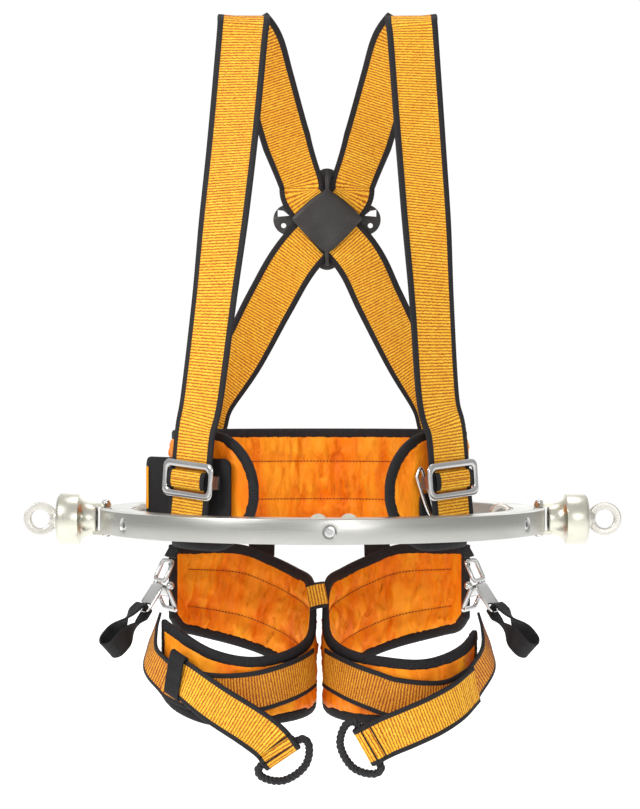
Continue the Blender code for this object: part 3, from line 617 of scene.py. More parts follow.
def build_swivel(name, side):
    axis = X * side
    flare = []
    for step in range(11):  # a hollow curve from the neck out to the hub's rim
        t = step / 10
        flare.append((15.2 + 9.05 * (1 - math.sqrt(max(0.0, 1 - t ** 2.1))), 217.2 + 15.8 * t))
    housing = make(f"swivel_hub_{name}", turned(
        [(0, 216.6), (14.6, 216.6), *flare[:-1], (24.05, 232.9), (24.25, 233.3), (24.25, 250.6),
         (23.9, 251.4), (21.2, 253.6), (20.6, 253.9), (0, 253.9)], 96, axis),
        "nickel", "ring_frame", [f"swivel_housing_{name}"])
    cut(housing, turned([(0, 211.6), (10.9, 211.6), (10.9, 247), (6.35, 247), (6.35, 258.9),
                         (0, 258.9)], 64, axis))
    for up, level in ((-1, "lower"), (1, "upper")):
        cut(housing, ear(side, up * 11.4, up * 14.9), "UNION")
        hole = Vector((side * EAR_SCREW_X, 0, up * 10.4))
        cut(housing, drum(2.2, hole, hole + Z * up * 5.5, 24))
        screw = make(f"dome_screw_{level}_{name}", turned(
            [(0, -9), (1.8, -9), (1.8, 0), (4.1, 0), (4.1, 0.7), (3.9, 1.6), (3.3, 2.5), (2.4, 3.1),
             (1.5, 3.45), (1.2, 3.5), (1.2, 1.6), (0, 1.6)], 36, Z * up,
            (side * EAR_SCREW_X, 0, up * 14.95)), "screw", "ring_frame",
            [f"housing_screw_{level}_{name}"])
        crisp_edges(screw)
    crisp_edges(housing, 28)

    eye = make(f"rope_eye_{name}", turned(
        [(0, 228), (5.2, 228), (6, 228.8), (6, 254.4), (9.6, 254.4), (9.6, 256.4), (9.0, 257.4),
         (7.6, 258.8), (6.4, 261), (0, 261)], 64, axis), "eye", f"eye_{name}",
        [f"swivel_eye_{name}"])
    rim = []
    for k in range(7):
        a = math.radians(15 * k)
        rim.append((14.6 + 1.4 * math.sin(a), -3.1 - 1.4 * math.cos(a)))
    cut(eye, turned([(9, -3.1), (9.4, -4.0), (10.4, -4.5), *rim,
                     *[(r, -z) for r, z in reversed(rim)], (10.4, 4.5), (9.4, 4.0), (9, 3.1)],
                    96, Y, (side * EYE_X, 0, 0)), "UNION")
    crisp_edges(eye, 40)


def build_inner_fittings():
    for name, side in SIDES.items():
        lug = make(f"side_lug_{name}", turned(
            [(5.2, -2.7), (6, -3.5), (9.8, -3.5), (10.6, -2.7), (10.6, 2.7), (9.8, 3.5), (6, 3.5),
             (5.2, 2.7)], 64, Y, (side * 171, 0, 4.5)), "eye", "harness",
            [f"belt_lug_{name}"])
        cut(lug, block(Matrix.Translation((side * 180.3, 0, 2)), 3.2, 18, 15), "UNION")
        finish_edges(lug, 0.5)
        crisp_edges(lug)
        low, high = node_box(f"ring_stop_{name}")
        middle = Vector(((low.x + high.x) / 2, low.y, (low.z + high.z) / 2))
        stop = make(f"stop_button_{name}", turned(
            [(0, 0), (8.6, 0), (8.6, 4.4), (8.3, 5.2), (7.6, 5.7), (7.2, 5.8), (3.4, 5.8),
             (3.0, 5.1), (0, 5.1)], 64, Y, middle), "nickel", "harness",
            [f"ring_stop_{name}"])
        crisp_edges(stop)


# ---------------------------------------------------------------- pads


def band_rows(start, end, low, high, radius, step):
    """(angle, low, high) columns of a band whose ends are half rounds."""
    middle, half = (low + high) / 2, (high - low) / 2
    reach = math.degrees(radius / BELT[1])
    rows = []
    for k in range(1, 15):
        a = math.radians(90 * k / 15)
        rows.append((start + reach * (1 - math.cos(a)), half * math.sin(a)))
    mirrored = [(start + end - angle, tall) for angle, tall in reversed(rows)]
    count = round((end - start - 2 * reach) / step)
    for k in range(count + 1):
        rows.append((start + reach + (end - start - 2 * reach) * k / count, half))
    return [(angle, middle - tall, middle + tall) for angle, tall in rows + mirrored]


def column_places(shape, rows):
    """The distance of each column along the band, in millimetres."""
    places = [0.0]
    for a, b in zip(rows, rows[1:]):
        places.append(places[-1] + (oval(shape, b[0])[0] - oval(shape, a[0])[0]).length)
    return places


def edge_tree(places, rows):
    """Points along a band's edge, laid flat."""
    edge = [(place, low) for place, (_, low, _) in zip(places, rows)]
    edge += [(place, high) for place, (_, _, high) in reversed(list(zip(places, rows)))]
    spots = []
    for (ax, az), (bx, bz) in zip(edge, [*edge[1:], edge[0]]):
        count = max(1, round(math.hypot(bx - ax, bz - az) / 1.5))
        spots += [(ax + (bx - ax) * k / count, az + (bz - az) * k / count) for k in range(count)]
    tree = kdtree.KDTree(len(spots))
    for number, (x, z) in enumerate(spots):
        tree.insert((x, z, 0), number)
    tree.balance()
    return tree


def quilted_pad(name, shape, rows, levels, seams, thick, surface, replaces, gather, seed, pleats,
                seam_span=(0.0, 1.0), cap=6.0):
    """A padded band of two skins, blown up between its bound edge and its seams.

    rows are (angle, low, high) columns, levels the number of rows of faces up the band, seams the
    rows that are sewn through, and pleats the depth, pitch and lean of its folds.
    """
    places = column_places(shape, rows)
    rim_tree = edge_tree(places, rows)
    bm = bmesh.new()
    layer = bm.loops.layers.uv.new("weave")
    skins, start, outward, held, spots = {}, [], [], [], []
    for way in (-1, 1):
        for i, (angle, low, high) in enumerate(rows):
            middle, out = oval(shape, angle)
            for j in range(levels + 1):
                z = low + (high - low) * j / levels
                rim = rim_tree.find((places[i], z, 0))[2]
                share = i / (len(rows) - 1)
                quilted = seam_span[0] <= share <= seam_span[1]
                gap = min(3, *(abs(j - seam) for seam in seams)) if quilted else 3
                deep = 2.2 if rim < 8 else 1.0 + 0.7 * gap
                skins[way, i, j] = bm.verts.new(middle + Z * z + out * way * deep)
                start.append(skins[way, i, j].co.copy())
                outward.append(out * way)
                held.append(1.0 if rim < 7.5 or quilted and j in seams else 0.0)
                slack = (0.15, 0.6, 0.9, 1.0)[gap] if quilted else 0.3
                spots.append((places[i] + way * 200, z, min(max((rim - 8) / 5, 0), 1) * slack))

    def face(keys):
        made = bm.faces.new([skins[key] for key in keys])
        for loop, (_, i, j) in zip(made.loops, keys):
            loop[layer].uv = (places[i] * MM, loop.vert.co.z * MM)

    last = len(rows) - 1
    for i in range(last):
        for j in range(levels):
            for way in (-1, 1):
                face([(way, i, j), (way, i + 1, j), (way, i + 1, j + 1), (way, i, j + 1)])
        for j in (0, levels):
            face([(-1, i, j), (-1, i + 1, j), (1, i + 1, j), (1, i, j)])
    for i in (0, last):
        for j in range(levels):
            face([(-1, i, j), (-1, i, j + 1), (1, i, j + 1), (1, i, j)])
    pad = make(name, bm, surface, "harness", replaces)
    inflate(pad, held, gather, seed)
    limit_bulge(pad, start, outward, thick, cap, (*pleats, spots))
    return pad


def inflate(obj, weights, gather, seed):
    """Cloth under pressure, pinned at its seams, with spare cloth that gathers into folds."""
    rng = random.Random(seed)
    for vert in obj.data.vertices:
        if weights[vert.index] < 0.5:
            vert.co += Vector([rng.uniform(-1, 1) for _ in range(3)]) * 0.25 * MM
    group = obj.vertex_groups.new(name="sewn")
    for index, weight in enumerate(weights):
        group.add([index], weight, "REPLACE")
    modifier = obj.modifiers.new("cloth", "CLOTH")
    for key, value in dict(
            quality=6, mass=0.15, tension_stiffness=20, compression_stiffness=20,
            shear_stiffness=5, bending_stiffness=0.05, shrink_min=-gather, use_pressure=True,
            uniform_pressure_force=3.0, vertex_group_mass="sewn").items():
        setattr(modifier.settings, key, value)
    modifier.settings.effector_weights.gravity = 0
    modifier.collision_settings.use_collision = False
    scene = bpy.context.scene
    for number in range(1, 19):
        scene.frame_set(number)
    apply_modifiers(obj)
    scene.frame_set(1)


def limit_bulge(obj, start, outward, thick, cap, pleats):
    """Keeps each point near its place, and gathers the free cloth into pleats.

    pleats are the depth, pitch and lean of the folds, and their numbers for each point.
    """
    depth, pitch, lean, spots = pleats
    c, s = math.cos(math.radians(lean)), math.sin(math.radians(lean))
    for vert in obj.data.vertices:
        move = vert.co / MM - start[vert.index]
        out = outward[vert.index]
        proud = move.dot(out)
        side = move - out * proud
        if side.length > cap * 0.5:
            side *= cap * 0.5 / side.length
        place, z, loose = spots[vert.index]
        along, up = place * c + z * s, z * c - place * s
        fold = 0.45 - 2.2 * abs(noise.noise(Vector((along / pitch, up / (pitch * 4), 7 + lean))))
        fold += 0.5 * noise.noise(Vector((along / pitch * 1.9, up / (pitch * 4), 3)))
        proud = proud * (0.15 + 0.85 * loose) + depth * fold * loose
        proud = max(-1.2, min(proud, thick / 2 - 1.0))
        vert.co = (start[vert.index] + side + out * proud) * MM


def binding(name, shape, rows, surface, width=8.0, deep=2.9):
    """Folded tape round the edge of a band, from (angle, low, high) columns."""
    edge = [(angle, low) for angle, low, _ in rows]
    edge += [(angle, high) for angle, _, high in reversed(rows)]
    points, normals = [], []
    for angle, z in edge:
        middle, out = oval(shape, angle)
        points.append(middle + Z * z)
        normals.append(out)
    points.append(points[0])
    normals.append(normals[0])
    points, normals, step = spaced(points, normals, 2.0)
    points, normals = points[:-1], normals[:-1]
    section = [(-width, deep - 0.9), (-width + 1.2, deep - 0.1), (-width / 2, deep),
               (-1.0, deep - 0.1), (0.9, deep * 0.62), (1.3, 0)]
    section += [(e, -n) for e, n in reversed(section[:-1])]
    rings, ways = [], directions(points, True)
    low = len(rows) // 4
    turn = -1 if ways[low].cross(normals[low]).z > 0 else 1
    for i, (point, normal, along) in enumerate(zip(points, normals, ways)):
        away = along.cross(normal).normalized() * turn
        pucker = 0.18 * math.sin(i * 1.9) + 0.12 * math.sin(i * 0.77)
        rings.append([point + away * e + normal * (n + math.copysign(pucker, n) if n else 0)
                      for e, n in section])
    bm = loft(rings, True, lambda i, k: (k * 0.0018, i * step * MM))
    return make(name, bm, surface)


def stitches(name, shape, rows, level, deep, span=(0.0, 1.0), pitch=3.4):
    """Dark thread dashes along a sewn row on both skins of a pad."""
    points, normals = [], []
    first, last = (round(share * (len(rows) - 1)) for share in span)
    for angle, low, high in rows[first:last + 1]:
        middle, out = oval(shape, angle)
        points.append(middle + Z * (low + (high - low) * level))
        normals.append(out)
    points, normals, _ = spaced(points, normals, pitch)
    bm = bmesh.new()
    bm.loops.layers.uv.new("weave")
    for point, normal, along in zip(points, normals, directions(points)):
        for way in (-1, 1):
            turn = Matrix((along, normal, along.cross(normal))).transposed().to_4x4()
            place = Matrix.Translation(point + normal * way * deep) @ turn
            bmesh.ops.create_icosphere(bm, subdivisions=1, radius=1,
                                       matrix=place @ Matrix.Diagonal((1.5, 0.42, 0.55, 1)))
    return make(name, bm, "thread")


def build_belt():
    rows = band_rows(BELT_START, BELT_END, BELT_LOW, BELT_HIGH, WING_R, 0.95)
    levels = 34
    seams = (12, 24)
    quilted_pad("belt", BELT, rows, levels, seams, 13, "satin", ["belt_pad"], 0.07, 3,
                (3.4, 7.5, 0), BELT_QUILT)
    binding("belt_binding", BELT, rows, "binding")
    for number, seam in enumerate(seams, 1):
        stitches(f"belt_stitching_{number}", BELT, rows, seam / levels, 2.0, BELT_QUILT)


def panel(name, points, normals, low, high, corner, thick, surface, replaces=()):
    """A standing panel with rounded corners that follows a level path."""
    points, normals, step = spaced(points, normals, 1.5)
    rings, uvs, last = [], [], len(points) - 1
    for k, (point, out) in enumerate(zip(points, normals)):
        inset = min(k, last - k) * step
        drop = corner - math.sqrt(max(0.0, corner ** 2 - (corner - min(inset, corner)) ** 2))
        outline = [(low + drop, -1), (low + drop - 0.4, 0), (low + drop, 1)]
        outline += [(low + drop + (high - low - 2 * drop) * s / 6, 1) for s in range(1, 6)]
        outline += [(high - drop, 1), (high - drop + 0.4, 0), (high - drop, -1)]
        outline += [(high - drop - (high - low - 2 * drop) * s / 6, -1) for s in range(1, 6)]
        rings.append([point + Z * z + out * (way * thick / 2 + 0.35 * noise.noise(
            Vector((k * step / 20, z / 16, 4)))) for z, way in outline])
        uvs.append([(k * step * MM, z * MM) for z, _ in outline])
    bm = loft(rings, False, lambda i, k: uvs[i][k % len(uvs[0])])
    return make(name, bm, surface, "harness", replaces)


def arc(offset, *angles):
    """Points and normals round the belt at even angles."""
    return map(list, zip(*(oval(BELT, angle, offset) for angle in range(*angles))))


def build_closures():
    points, normals = arc(10.5, -147, -119, 3)
    flare = (points[-1] - points[-2]).normalized()
    for reach in (15, 30, 45, 60):
        points.append(points[9] + flare * reach)
        normals.append(normals[9])
    panel("closing_band", points, normals, 2, 60, 7, 2.6, "band", ["closure_band_left"])
    edge = [points[-1] - flare * back + normals[9] * 2.1 for back in (5.2, 1.6)]
    panel("closing_band_lining", edge, [normals[9]] * 2, 11, 51, 1.0, 0.9, "stripe")
    panel("closing_tab", *arc(8.5, 105, 142, 3), 4, 28, 4, 2.6, "band", ["closure_tab_right"])

    point, out = oval(BELT, 140, 13)
    frame_at = frame_of(point + Z * 31, out)
    corners = [frame_at @ Vector(p) for p in ((-10, 13, 0), (-4, 19, 0), (9, -17, 0), (4, -20, 0))]
    make("closing_link", wire(smoothed([*corners, corners[0]], 12)[:-1], 1.75), "steel",
         "closure_link", ["triangle_link"])


# ---------------------------------------------------------------- shoulder straps


STRAP_FRONT = {
    # x, y, z and the yaw of the face from straight ahead, from the foot up
    "left": [(-125.5, -99, -12, 40), (-120.4, -100.1, 41, 40), (-116.3, -101, 84, 40),
             (-110, -101, 116, 36), (-99, -96, 206, 32), (-91, -78, 283, 20), (-84, -46, 362, 14),
             (-77, -14, 456, 8)],
    "right": [(121, -99, -12, 40), (116.3, -100.1, 41, 40), (112.5, -101, 84, 40),
              (105, -101, 116, 36), (99.5, -96, 206, 32), (95.5, -78, 283, 20),
              (91.5, -46, 362, 14), (86.5, -14, 456, 8)],
}
STRAP_BACK = {
    # reach past the crossing at two heights, then (angle, z) rows on the belt's back
    "left": ((53, 80), ((48, 116), (52, 90), (57, 60))),
    "right": ((57, 86), ((45, 116), (49, 90), (54, 60))),
}
FOLD = [(-8, 475, -60), (2, 482, 0), (12, 477, 60)]  # y, z and lean of the face at the shoulder
CROSSING = Vector((4.7, 108, 297))


def strap_route(name):
    """A shoulder strap from the belt's front, over the shoulder and across the back."""
    side = SIDES[name]
    rows = []
    for x, y, z, yaw in STRAP_FRONT[name]:
        a = math.radians(yaw) * side
        rows.append((x, y, z, math.sin(a), -math.cos(a), 0))
    top_x = rows[-1][0] - side * 1.5
    for y, z, lean in FOLD:
        a = math.radians(lean)
        rows.append((top_x, y, z, 0, math.sin(a), math.cos(a)))
    x, depth = CROSSING.x, CROSSING.y + side * 1.8
    lean = side * 0.28
    rows += [
        (x + side * 67, 26, 460, lean * 0.3, 0.9, 0.45),
        (x + side * 57, 48, 428, lean * 0.6, 0.96, 0.3),
        (x + side * 41, 84, 374, lean * 0.4, 0.98, 0.15),
        (x + side * 27, depth - 3, 335, 0, 1, 0),
        (x + side * 20, depth - 1, 314, 0, 1, 0),
        (x - side * 29, depth - 1, 261, 0, 1, 0),
    ]
    (near, far), belt_ends = STRAP_BACK[name]
    rows += [(x - side * near, 104, 214, -lean * 0.7, 1, 0),
             (x - side * far, 94, 158, -lean * 1.6, 0.9, 0)]
    for angle, z in belt_ends:
        point, out = oval(BELT, -side * angle, 11 / 2 + 4)
        rows.append((point.x, point.y, z, *out))
    rows = smoothed(rows, 12)
    return [Vector(row[:3]) for row in rows], [Vector(row[3:]) for row in rows]


def strap_width(point):
    """The webbing's share of its width: the crossing plate gathers it a little."""
    if point.y < 40:
        return 1
    reach = abs(point.z - CROSSING.z - 30) / 45
    return 1 - 0.1 * max(0.0, 1 - reach ** 2)


def build_shoulders():
    for name in SIDES:
        webbing(f"shoulder_webbing_{name}", *strap_route(name), WEBBING, "webbing",
                [f"shoulder_strap_{name}"], width_at=strap_width)
        build_adjuster(name)
    build_plate()


def frame_of(point, out, up=Z):
    """A local frame at a point: x across, y up, z out of the surface."""
    out = Vector(out).normalized()
    across = Vector(up).cross(out).normalized()
    up = out.cross(across)
    return Matrix.Translation(point) @ Matrix((across, up, out)).transposed().to_4x4()


def rounded_outline(width, height, radius, steps=6):
    points = []
    for turn in range(4):
        x = (width / 2 - radius) * (1, -1, -1, 1)[turn]
        y = (height / 2 - radius) * (1, 1, -1, -1)[turn]
        for step in range(steps + 1):
            a = math.radians(90 * (turn + step / steps))
            points.append((x + radius * math.cos(a), y + radius * math.sin(a)))
    return points


def bar_frame(frame_at, outer, inner, sides, radius, height):
    """A frame whose rounded bars fill the gap between two outlines, lifted by height(y)."""
    rings = []
    for o, i in zip(map(Vector, outer), map(Vector, inner)):
        ring = []
        for k in range(sides):
            t = 2 * math.pi * k / sides
            p = (o + i) / 2 + (o - i) / 2 * math.cos(t)
            ring.append(frame_at @ Vector((*p, height(p.y) + radius * math.sin(t))))
        rings.append(ring)
    return loft(rings, True)


def build_adjuster(name):
    """A three-bar slide with round-edged bars, and the fold of webbing that fills its window."""
    side = SIDES[name]
    (x0, y0, z0, yaw), (x1, y1, z1, _) = STRAP_FRONT[name][0], STRAP_FRONT[name][2]
    at = Vector(STRAP_FRONT[name][1][:3])
    a = math.radians(yaw) * side
    frame_at = frame_of(at, (math.sin(a), -math.cos(a), 0), (x1 - x0, y1 - y0, z1 - z0))
    outer, inner = rounded_outline(62, 34, 7), rounded_outline(50.6, 20.5, 4.5)
    slide = make(f"slide_buckle_{name}", bar_frame(frame_at, outer, inner, 14, 1.9, lambda y: 4.0),
                 "steel", f"adjuster_{name}", [f"strap_adjuster_{name}"])
    for way in (-1, 1):
        cheek = frame_at @ Matrix.Translation((way * 28.4, 0, -1.6))
        cut(slide, block(cheek, 4.2, 12, 9), "UNION")
    rod = [frame_at @ Vector((x, 0, -5.1)) for x in (-28.4, 28.4)]
    cut(slide, drum(2.0, *rod, 20), "UNION")
    crisp_edges(slide, 40)
    turns = [math.radians(15 * k) for k in range(25)]
    turn = frame_at.to_3x3()
    webbing(f"webbing_fold_{name}",
            [frame_at @ Vector((0, 7.4 * math.sin(t), 4.4 + 2.3 * math.cos(t))) for t in turns],
            [turn @ Vector((0, 2.3 * math.sin(t), 7.4 * math.cos(t))).normalized() for t in turns],
            46, "fold", (), 1.6, 2.4, 5.0, closed=True, body=f"adjuster_{name}")


def build_plate():
    """The lobed rear plate and the crowned front diamond, with soft edges."""
    rear, front = CROSSING.y + 6.2, CROSSING.y - 6.2
    x, z = CROSSING.x, CROSSING.z

    def disc(dx, dz, radius, steps=64):
        return drum(radius, (x + dx, rear - 1.3, z + dz), (x + dx, rear + 1.3, z + dz), steps)

    plate = make("cross_plate", disc(0, 0, 37, 96), "plate", "harness", ["back_cross_plate"])
    for dx, dz, radius in ((0, 39, 13), (0, -38, 13), (-39, 0, 15.5), (39, 0, 15.5)):
        cut(plate, disc(dx, dz, radius), "UNION")
    for way in (-1, 1):
        hole = (x + way * 44, 0, z - 6)
        cut(plate, drum(2.6, (hole[0], rear - 4, hole[2]), (hole[0], rear + 4, hole[2]), 24))
        wedge = [(way * 38, 4), (way * 50, 3), (way * 50, 10), (way * 44, 9)]
        cut(plate, loft([[Vector((x + dx, y, z + dz)) for dx, dz in wedge]
                         for y in (rear - 4, rear + 4)]))
    for dz in (45.3, -45):
        post = Matrix.Translation((x, (rear + front) / 2, z + dz))
        cut(plate, block(post, 3, rear - front, 4), "UNION")
        arm = Matrix.Translation((x, front, z + dz * 0.82))
        cut(plate, block(arm, 3.4, 2.4, 20), "UNION")
    finish_edges(plate, 0.5, 2, 40)
    crisp_edges(plate)
    diamond = smoothed([(0, 30.5, 0), (17, 19, 0), (33, 3.5, 0), (35.5, 0, 0), (33, -3.5, 0),
                        (17, -21, 0), (0, -34, 0), (-17, -21, 0), (-33, -3.5, 0), (-35.5, 0, 0),
                        (-33, 3.5, 0), (-17, 19, 0), (0, 30.5, 0)], 5)[:-1]
    rings = []
    for share, y in ((0.96, front + 1.2), (1, front + 0.6), (1, front - 0.7), (0.965, front - 1.7),
                     (0.85, front - 2.6), (0.6, front - 3.4), (0.3, front - 3.8),
                     (0.02, front - 3.9)):
        rings.append([Vector((x + p.x * share, y, z + p.y * share)) for p in diamond])
    make("cross_diamond", loft(rings), "plate")


# ---------------------------------------------------------------- leg loops


LEG_ROWS = [
    # angle from the back towards the other leg, low and high edges
    (-64, -98, -28), (-52, -112, -29), (-36, -118, -30), (0, -131, -31), (26, -142, -42),
    (50, -154, -52), (75, -170, -60), (90, -177, -78), (102, -181, -104), (130, -184, -118),
    (165, -185, -124),
]
LEG_OUTER_ROWS = {
    "left": [(195, -185, -117), (225, -176, -101), (247, -165, -94)],
    "right": [(195, -185, -126), (225, -176, -117), (247, -165, -104)],
}
LEG_STRAP_ROWS = {
    # angle and height of the strap's middle
    "left": [(112, -138), (130, -144), (150, -150), (165, -154), (188, -156), (210, -153),
             (232, -146)],
    "right": [(112, -138), (130, -143), (157, -153), (175, -160), (207, -163), (232, -152)],
}
TAIL_ROWS = {
    # x, y, z, then the face's direction
    "left": [(-141, -72, -137, -0.85, -0.55, 0), (-125, -91, -145, -0.6, -0.8, 0),
             (-98, -105, -163, -0.25, -0.97, 0), (-65, -112, -183, 0, -1, 0),
             (-47, -111, -197, 0, -1, 0), (-38.5, -108, -209, 0, -1, 0)],
    "right": [(143, -66, -150, 0.85, -0.55, 0), (125, -91, -162, 0.6, -0.8, 0),
              (103, -105, -173, 0.25, -0.97, 0), (79, -111, -183, 0, -1, 0),
              (57, -112, -192, 0, -1, 0), (41, -108, -201, 0, -1, 0)],
}
SLEEVE_R = 6.2
HIP_X, HIP_Y, HIP_YAW = 148, -14, 25
PULL_TWIST = 65


def leg_shape(side):
    return (MID_X + side * 79, -4), 73, 80


def even_rows(rows, step):
    """Columns at even angles between the given ones."""
    rows = smoothed(rows, 8)
    count = round((rows[-1][0] - rows[0][0]) / step)
    found, j = [], 0
    for k in range(count + 1):
        angle = rows[0][0] + (rows[-1][0] - rows[0][0]) * k / count
        while j < len(rows) - 2 and rows[j + 1][0] < angle:
            j += 1
        t = (angle - rows[j][0]) / (rows[j + 1][0] - rows[j][0])
        found.append(rows[j].lerp(rows[j + 1], t))
    return found


def build_leg(name, side):
    shape = leg_shape(side)
    rows = [(-side * row[0], row[1], row[2])
            for row in even_rows(LEG_ROWS + LEG_OUTER_ROWS[name], 1.6)]
    levels, seams = 26, (8, 19)
    quilted_pad(f"leg_pad_padding_{name}", shape, rows, levels, seams, 10, "satin",
                [f"leg_pad_{name}"], 0.08, 11 + side, (4.6, 7.0, 20 * side), LEG_QUILT)
    binding(f"leg_binding_{name}", shape, rows, "binding", 8.5, 3.2)
    for number, seam in enumerate(seams, 1):
        stitches(f"leg_stitching_{number}_{name}", shape, rows, seam / levels, 2.0, LEG_QUILT)
    build_leg_straps(name, side)
    build_hip_buckle(name, side)
    top = MID_X + side * 58
    points = [Vector((top, 100, BELT_LOW - 4)), Vector((top, 95, -35)), Vector((top, 86, -42))]
    webbing(f"riser_{name}", points, [Y] * 3, 26, "black", [f"rear_riser_{name}"], 2.2, 1.8, 2.0)


def build_leg_straps(name, side):
    """The webbing over the front of the leg, its free tail with a stitched sleeve, and the cord."""
    shape = leg_shape(side)
    points, normals = [], []
    for angle, z in smoothed(LEG_STRAP_ROWS[name], 6):
        point, out = oval(shape, -side * angle, 8 / 2 + 3.2)
        points.append(point + Z * z)
        normals.append(out)
    x = shape[0][0]
    rows = [
        (*points[-1], *normals[-1]),
        (x + side * 79, -45, -130, side * 0.85, -0.5, 0),
        (x + side * 79, -29, -112, side * 0.95, -0.3, 0.1),
        (x + side * 75.5, -17, -98, side, -0.2, 0.15),
    ]
    rows = smoothed(rows, 10)[1:]
    points += [Vector(row[:3]) for row in rows]
    normals += [Vector(row[3:]) for row in rows]
    # The strap over the leg's front takes the darker webbing copy, which is painted shade.
    webbing(f"leg_webbing_{name}", points, normals, LEG_WEBBING, "shaded_leg_webbing",
            [f"leg_strap_{name}"], 1.9, 2.8, 4.5)

    rows = smoothed(TAIL_ROWS[name], 12)
    points = [Vector(row[:3]) for row in rows]
    normals = [Vector(row[3:]) for row in rows]
    if name == "left":
        build_keeper(points, normals)
    along = (points[-1] - points[-2]).normalized()
    out = (normals[-1] - along * normals[-1].dot(along)).normalized()
    middle = points[-1] - out * SLEEVE_R
    fold = len(points) - 1
    for turn in range(15, 316, 15):
        a = math.radians(turn)
        radial = out * math.cos(a) + along * math.sin(a)
        points.append(middle + radial * SLEEVE_R)
        normals.append(radial)
    sleeve = SLEEVE_R * math.radians(315)
    webbing(f"tail_webbing_{name}", points, normals, LEG_WEBBING, "leg_webbing",
            [f"strap_tail_{name}"], 1.6, 2.2, 4.5, ridges=((sleeve + 6, 2.2), (sleeve + 15, 2.2)))
    across = along.cross(out)
    for number, back in enumerate((2.0, 11.5), 1):
        seat = points[fold] - along * back + out * 1.5
        path = [seat + across * u for u in (-17, -8, 0, 8, 17)]
        make(f"tail_seam_{number}_{name}", wire(path, 0.8, False, 8), "binding")
    build_cord_loop(name, middle, across * side, along)


def build_keeper(points, normals):
    """The black keeper band round the strap's tail."""
    along = (points[6] - points[4]).normalized()
    across = along.cross(normals[5]).normalized()
    out = across.cross(along)
    turns = [math.radians(12 * k) for k in range(31)]

    def spot(t, wide, deep):
        c, s = math.cos(t), math.sin(t)
        return (across * wide * math.copysign(abs(c) ** 0.35, c)
                + out * deep * math.copysign(abs(s) ** 0.6, s))

    path = [points[5] + spot(t, LEG_WEBBING / 2 + 1.6, 2.6) for t in turns]
    faces = [(across * math.cos(t) * 0.4 + out * math.sin(t)).normalized() for t in turns]
    webbing("strap_keeper", path, faces, 24, "black", (), 1.6, 1.8, 2.0, closed=True)


def build_cord_loop(name, middle, across, along):
    """A laid cord ring whose straight side lies in the sleeve at the strap's end."""
    reach = LEG_WEBBING / 2
    outline = [(1.5, 0), (reach, 0), (reach + 6, 2), (reach + 7.2, 8), (23, 14.5), (18, 20),
               (11, 24.3), (0, 26), (-11, 24.3), (-18, 20), (-23, 14.5), (-reach - 7.2, 8),
               (-reach - 6, 2), (-reach, 0), (-1.5, 0)]
    points = [middle + across * u + along * v for u, v in outline]
    points = smoothed(points, 12)
    points, _, step = spaced(points, [X] * len(points), 0.6)

    def bumps(i, angle):
        turn = 2 * math.pi * i * step / 13
        return 1.0 * abs(math.cos(1.5 * (angle - turn))) - 0.55

    cord = make(f"cord_ring_{name}", wire(points, 3.4, False, 30, bumps), "cord",
                f"cord_{name}", [f"cord_loop_{name}"])


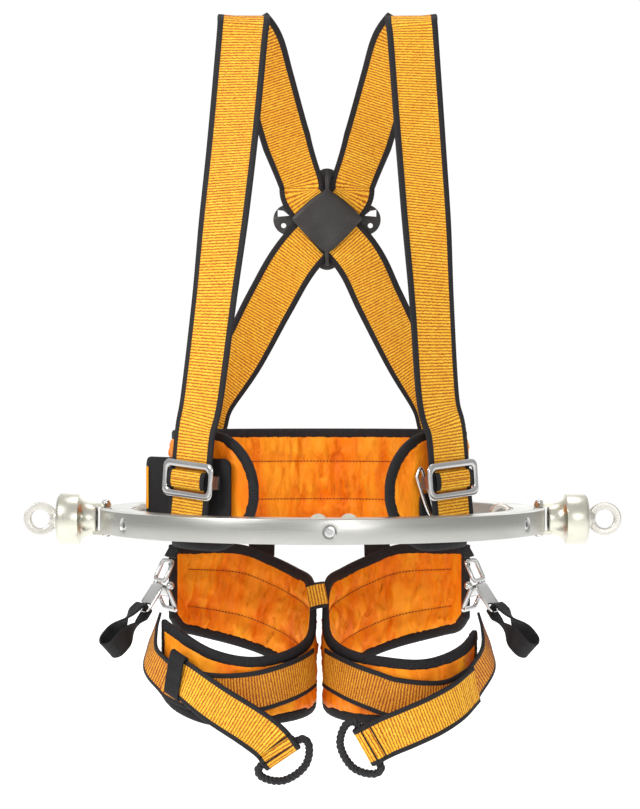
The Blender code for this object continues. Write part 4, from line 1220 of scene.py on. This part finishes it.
def build_hip_buckle(name, side):
    """The hanger, wire link, frame, lever and pull loop at the hip."""
    turn = math.radians(HIP_YAW)
    wide = Vector((side * math.sin(turn), math.cos(turn), 0))

    def at(x, z, y=0.0):
        dx = x - HIP_X
        return Vector((MID_X + side * (HIP_X + dx * math.cos(turn) + y * math.sin(turn)),
                       HIP_Y - dx * math.sin(turn) + y * math.cos(turn), z))

    webbing(f"hanger_{name}", [at(136, BELT_LOW - 2), at(139, -31), at(142, -36)],
            [at(1, 0) - at(0, 0)] * 3, 26, "black", [f"hip_hanger_{name}"], 2.0, 1.8, 2.0)
    hook, pivot = at(143, -37.5), at(153, -59)
    along = (pivot - hook).normalized()
    link_frame = frame_of((hook + pivot) / 2 + along * 0.3, along.cross(wide) * -side, along)
    points = [link_frame @ Vector((u, v, 0)) for u, v in rounded_outline(27, 20, 4, 6)]
    make(f"link_{name}", wire(points, 2.0, True, 16), "steel", f"hip_link_{name}",
         [f"buckle_link_{name}"])

    def bent_bar(title, body, node, frame_at, wide, length, window, radius, bow):
        """A cast frame with round bars, from its pivot end to its foot."""
        inner_wide, inner_tall, drop = window
        inner = [(u, v + drop) for u, v in rounded_outline(inner_wide, inner_tall, 3, 5)]
        bars = bar_frame(frame_at, rounded_outline(wide, length, 6, 5), inner, 12, radius,
                         lambda y: bow * (1 - (2 * y / length) ** 2))
        return make(title, bars, "steel", body, [node])

    foot = at(140, -90)
    down = (foot - pivot).normalized()
    frame_at = frame_of((pivot + foot) / 2, wide.cross(down) * side, -down)
    casting = bent_bar(f"buckle_casting_{name}", f"hip_buckle_{name}", f"leg_buckle_frame_{name}",
                       frame_at, 38, 28, (29, 10, -4), 2.2, 0.0)
    for way in (-1, 1):
        ball = bmesh.new()
        bmesh.ops.create_uvsphere(ball, u_segments=24, v_segments=16, radius=3.9,
                                  matrix=frame_at @ Matrix.Translation((way * 17.7, 12.5, 3.2)))
        cut(casting, ball, "UNION")
    crisp_edges(casting, 40)

    tip = at(171, -87)
    out = (tip - pivot).normalized()
    start = pivot + out * 1.5
    frame_at = frame_of((start + tip) / 2, wide.cross(out) * side, -out)
    bent_bar(f"buckle_arm_{name}", f"lever_{name}", f"buckle_lever_{name}", frame_at, 31,
             (tip - start).length, (25, 7, -10.5), 1.5, 1.0)

    slot = frame_at @ Vector((0, -10.5, 0))
    reach = (at(207, -124, 0) - slot).normalized()
    through = (frame_at.to_3x3() @ Z - reach * (frame_at.to_3x3() @ Z).dot(reach)).normalized()
    turned_to = reach.cross(through)
    if turned_to.y > 0:
        turned_to = -turned_to
    outline = [(0, 4.5), (0, 0), (0, -4.5), (10, -6), (23, -6.5), (37, -8), (49, -7), (54, 0),
               (49, 7), (37, 8), (23, 6.5), (10, 6)]
    points, normals = [], []
    outline = smoothed([*outline, outline[0]], 8)
    flat = [Vector((*spot, 0)) for spot in outline[:-1]]
    for (l, t), run in zip(outline, directions(flat, True) + directions(flat[:2])[:1]):
        share = min(max((l - 8) / 30, 0), 1)
        twist = math.radians(PULL_TWIST) * share * share * (3 - 2 * share)
        side_way = through * math.cos(twist) + turned_to * math.sin(twist)
        points.append(slot + reach * l + side_way * t)
        normals.append(reach * -run.y + side_way * run.x)
    webbing(f"pull_webbing_{name}", points, normals, 24, "black", [f"pull_loop_{name}"], 1.5, 1.8,
            2.0, closed=True, body=f"pull_{name}")


def build_crotch_link():
    """A saddle of webbing over the inner top edges of both leg loops."""
    slope = Vector((0, -0.755, -0.656)).normalized()
    up = Vector((0, slope.z, -slope.y))
    path = smoothed([(-10.3, -0.5, 0), (-8, 0, 0), (-3, 0.5, 0), (2, 0, 0), (4.3, -0.5, 0)], 6)
    points, normals = [], []
    for spot, run in zip(path, directions(path)):
        points.append(Vector((spot.x * 1.25 - 1.5, -4, -74.0)) + up * (spot.y + 0.3))
        normals.append(X * -run.y + up * run.x)
    lean = Matrix.Rotation(math.radians(-12), 3, "Y")
    middle = points[len(points) // 2]
    points = [middle + lean @ (point - middle) for point in points]
    normals = [lean @ normal for normal in normals]
    webbing("crotch_webbing", points, normals, 34, "small_webbing", ["crotch_link"], 1.9, 2.0, 3.0)


def finish_kept_nodes():
    """Procedural metals on the CAD nodes that show as they are."""
    for name in SIDES:
        for node, surface in (("swivel_bearing", "steel"), ("spindle_nut", "screw")):
            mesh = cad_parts[f"{node}_{name}"].data
            mesh.materials.clear()
            mesh.materials.append(MATERIALS[surface])


def main():
    stage_scene()
    build_ring()
    for name, side in SIDES.items():
        build_swivel(name, side)
    build_inner_fittings()
    build_belt()
    build_closures()
    build_shoulders()
    for name, side in SIDES.items():
        build_leg(name, side)
    build_crotch_link()
    finish_kept_nodes()


main()
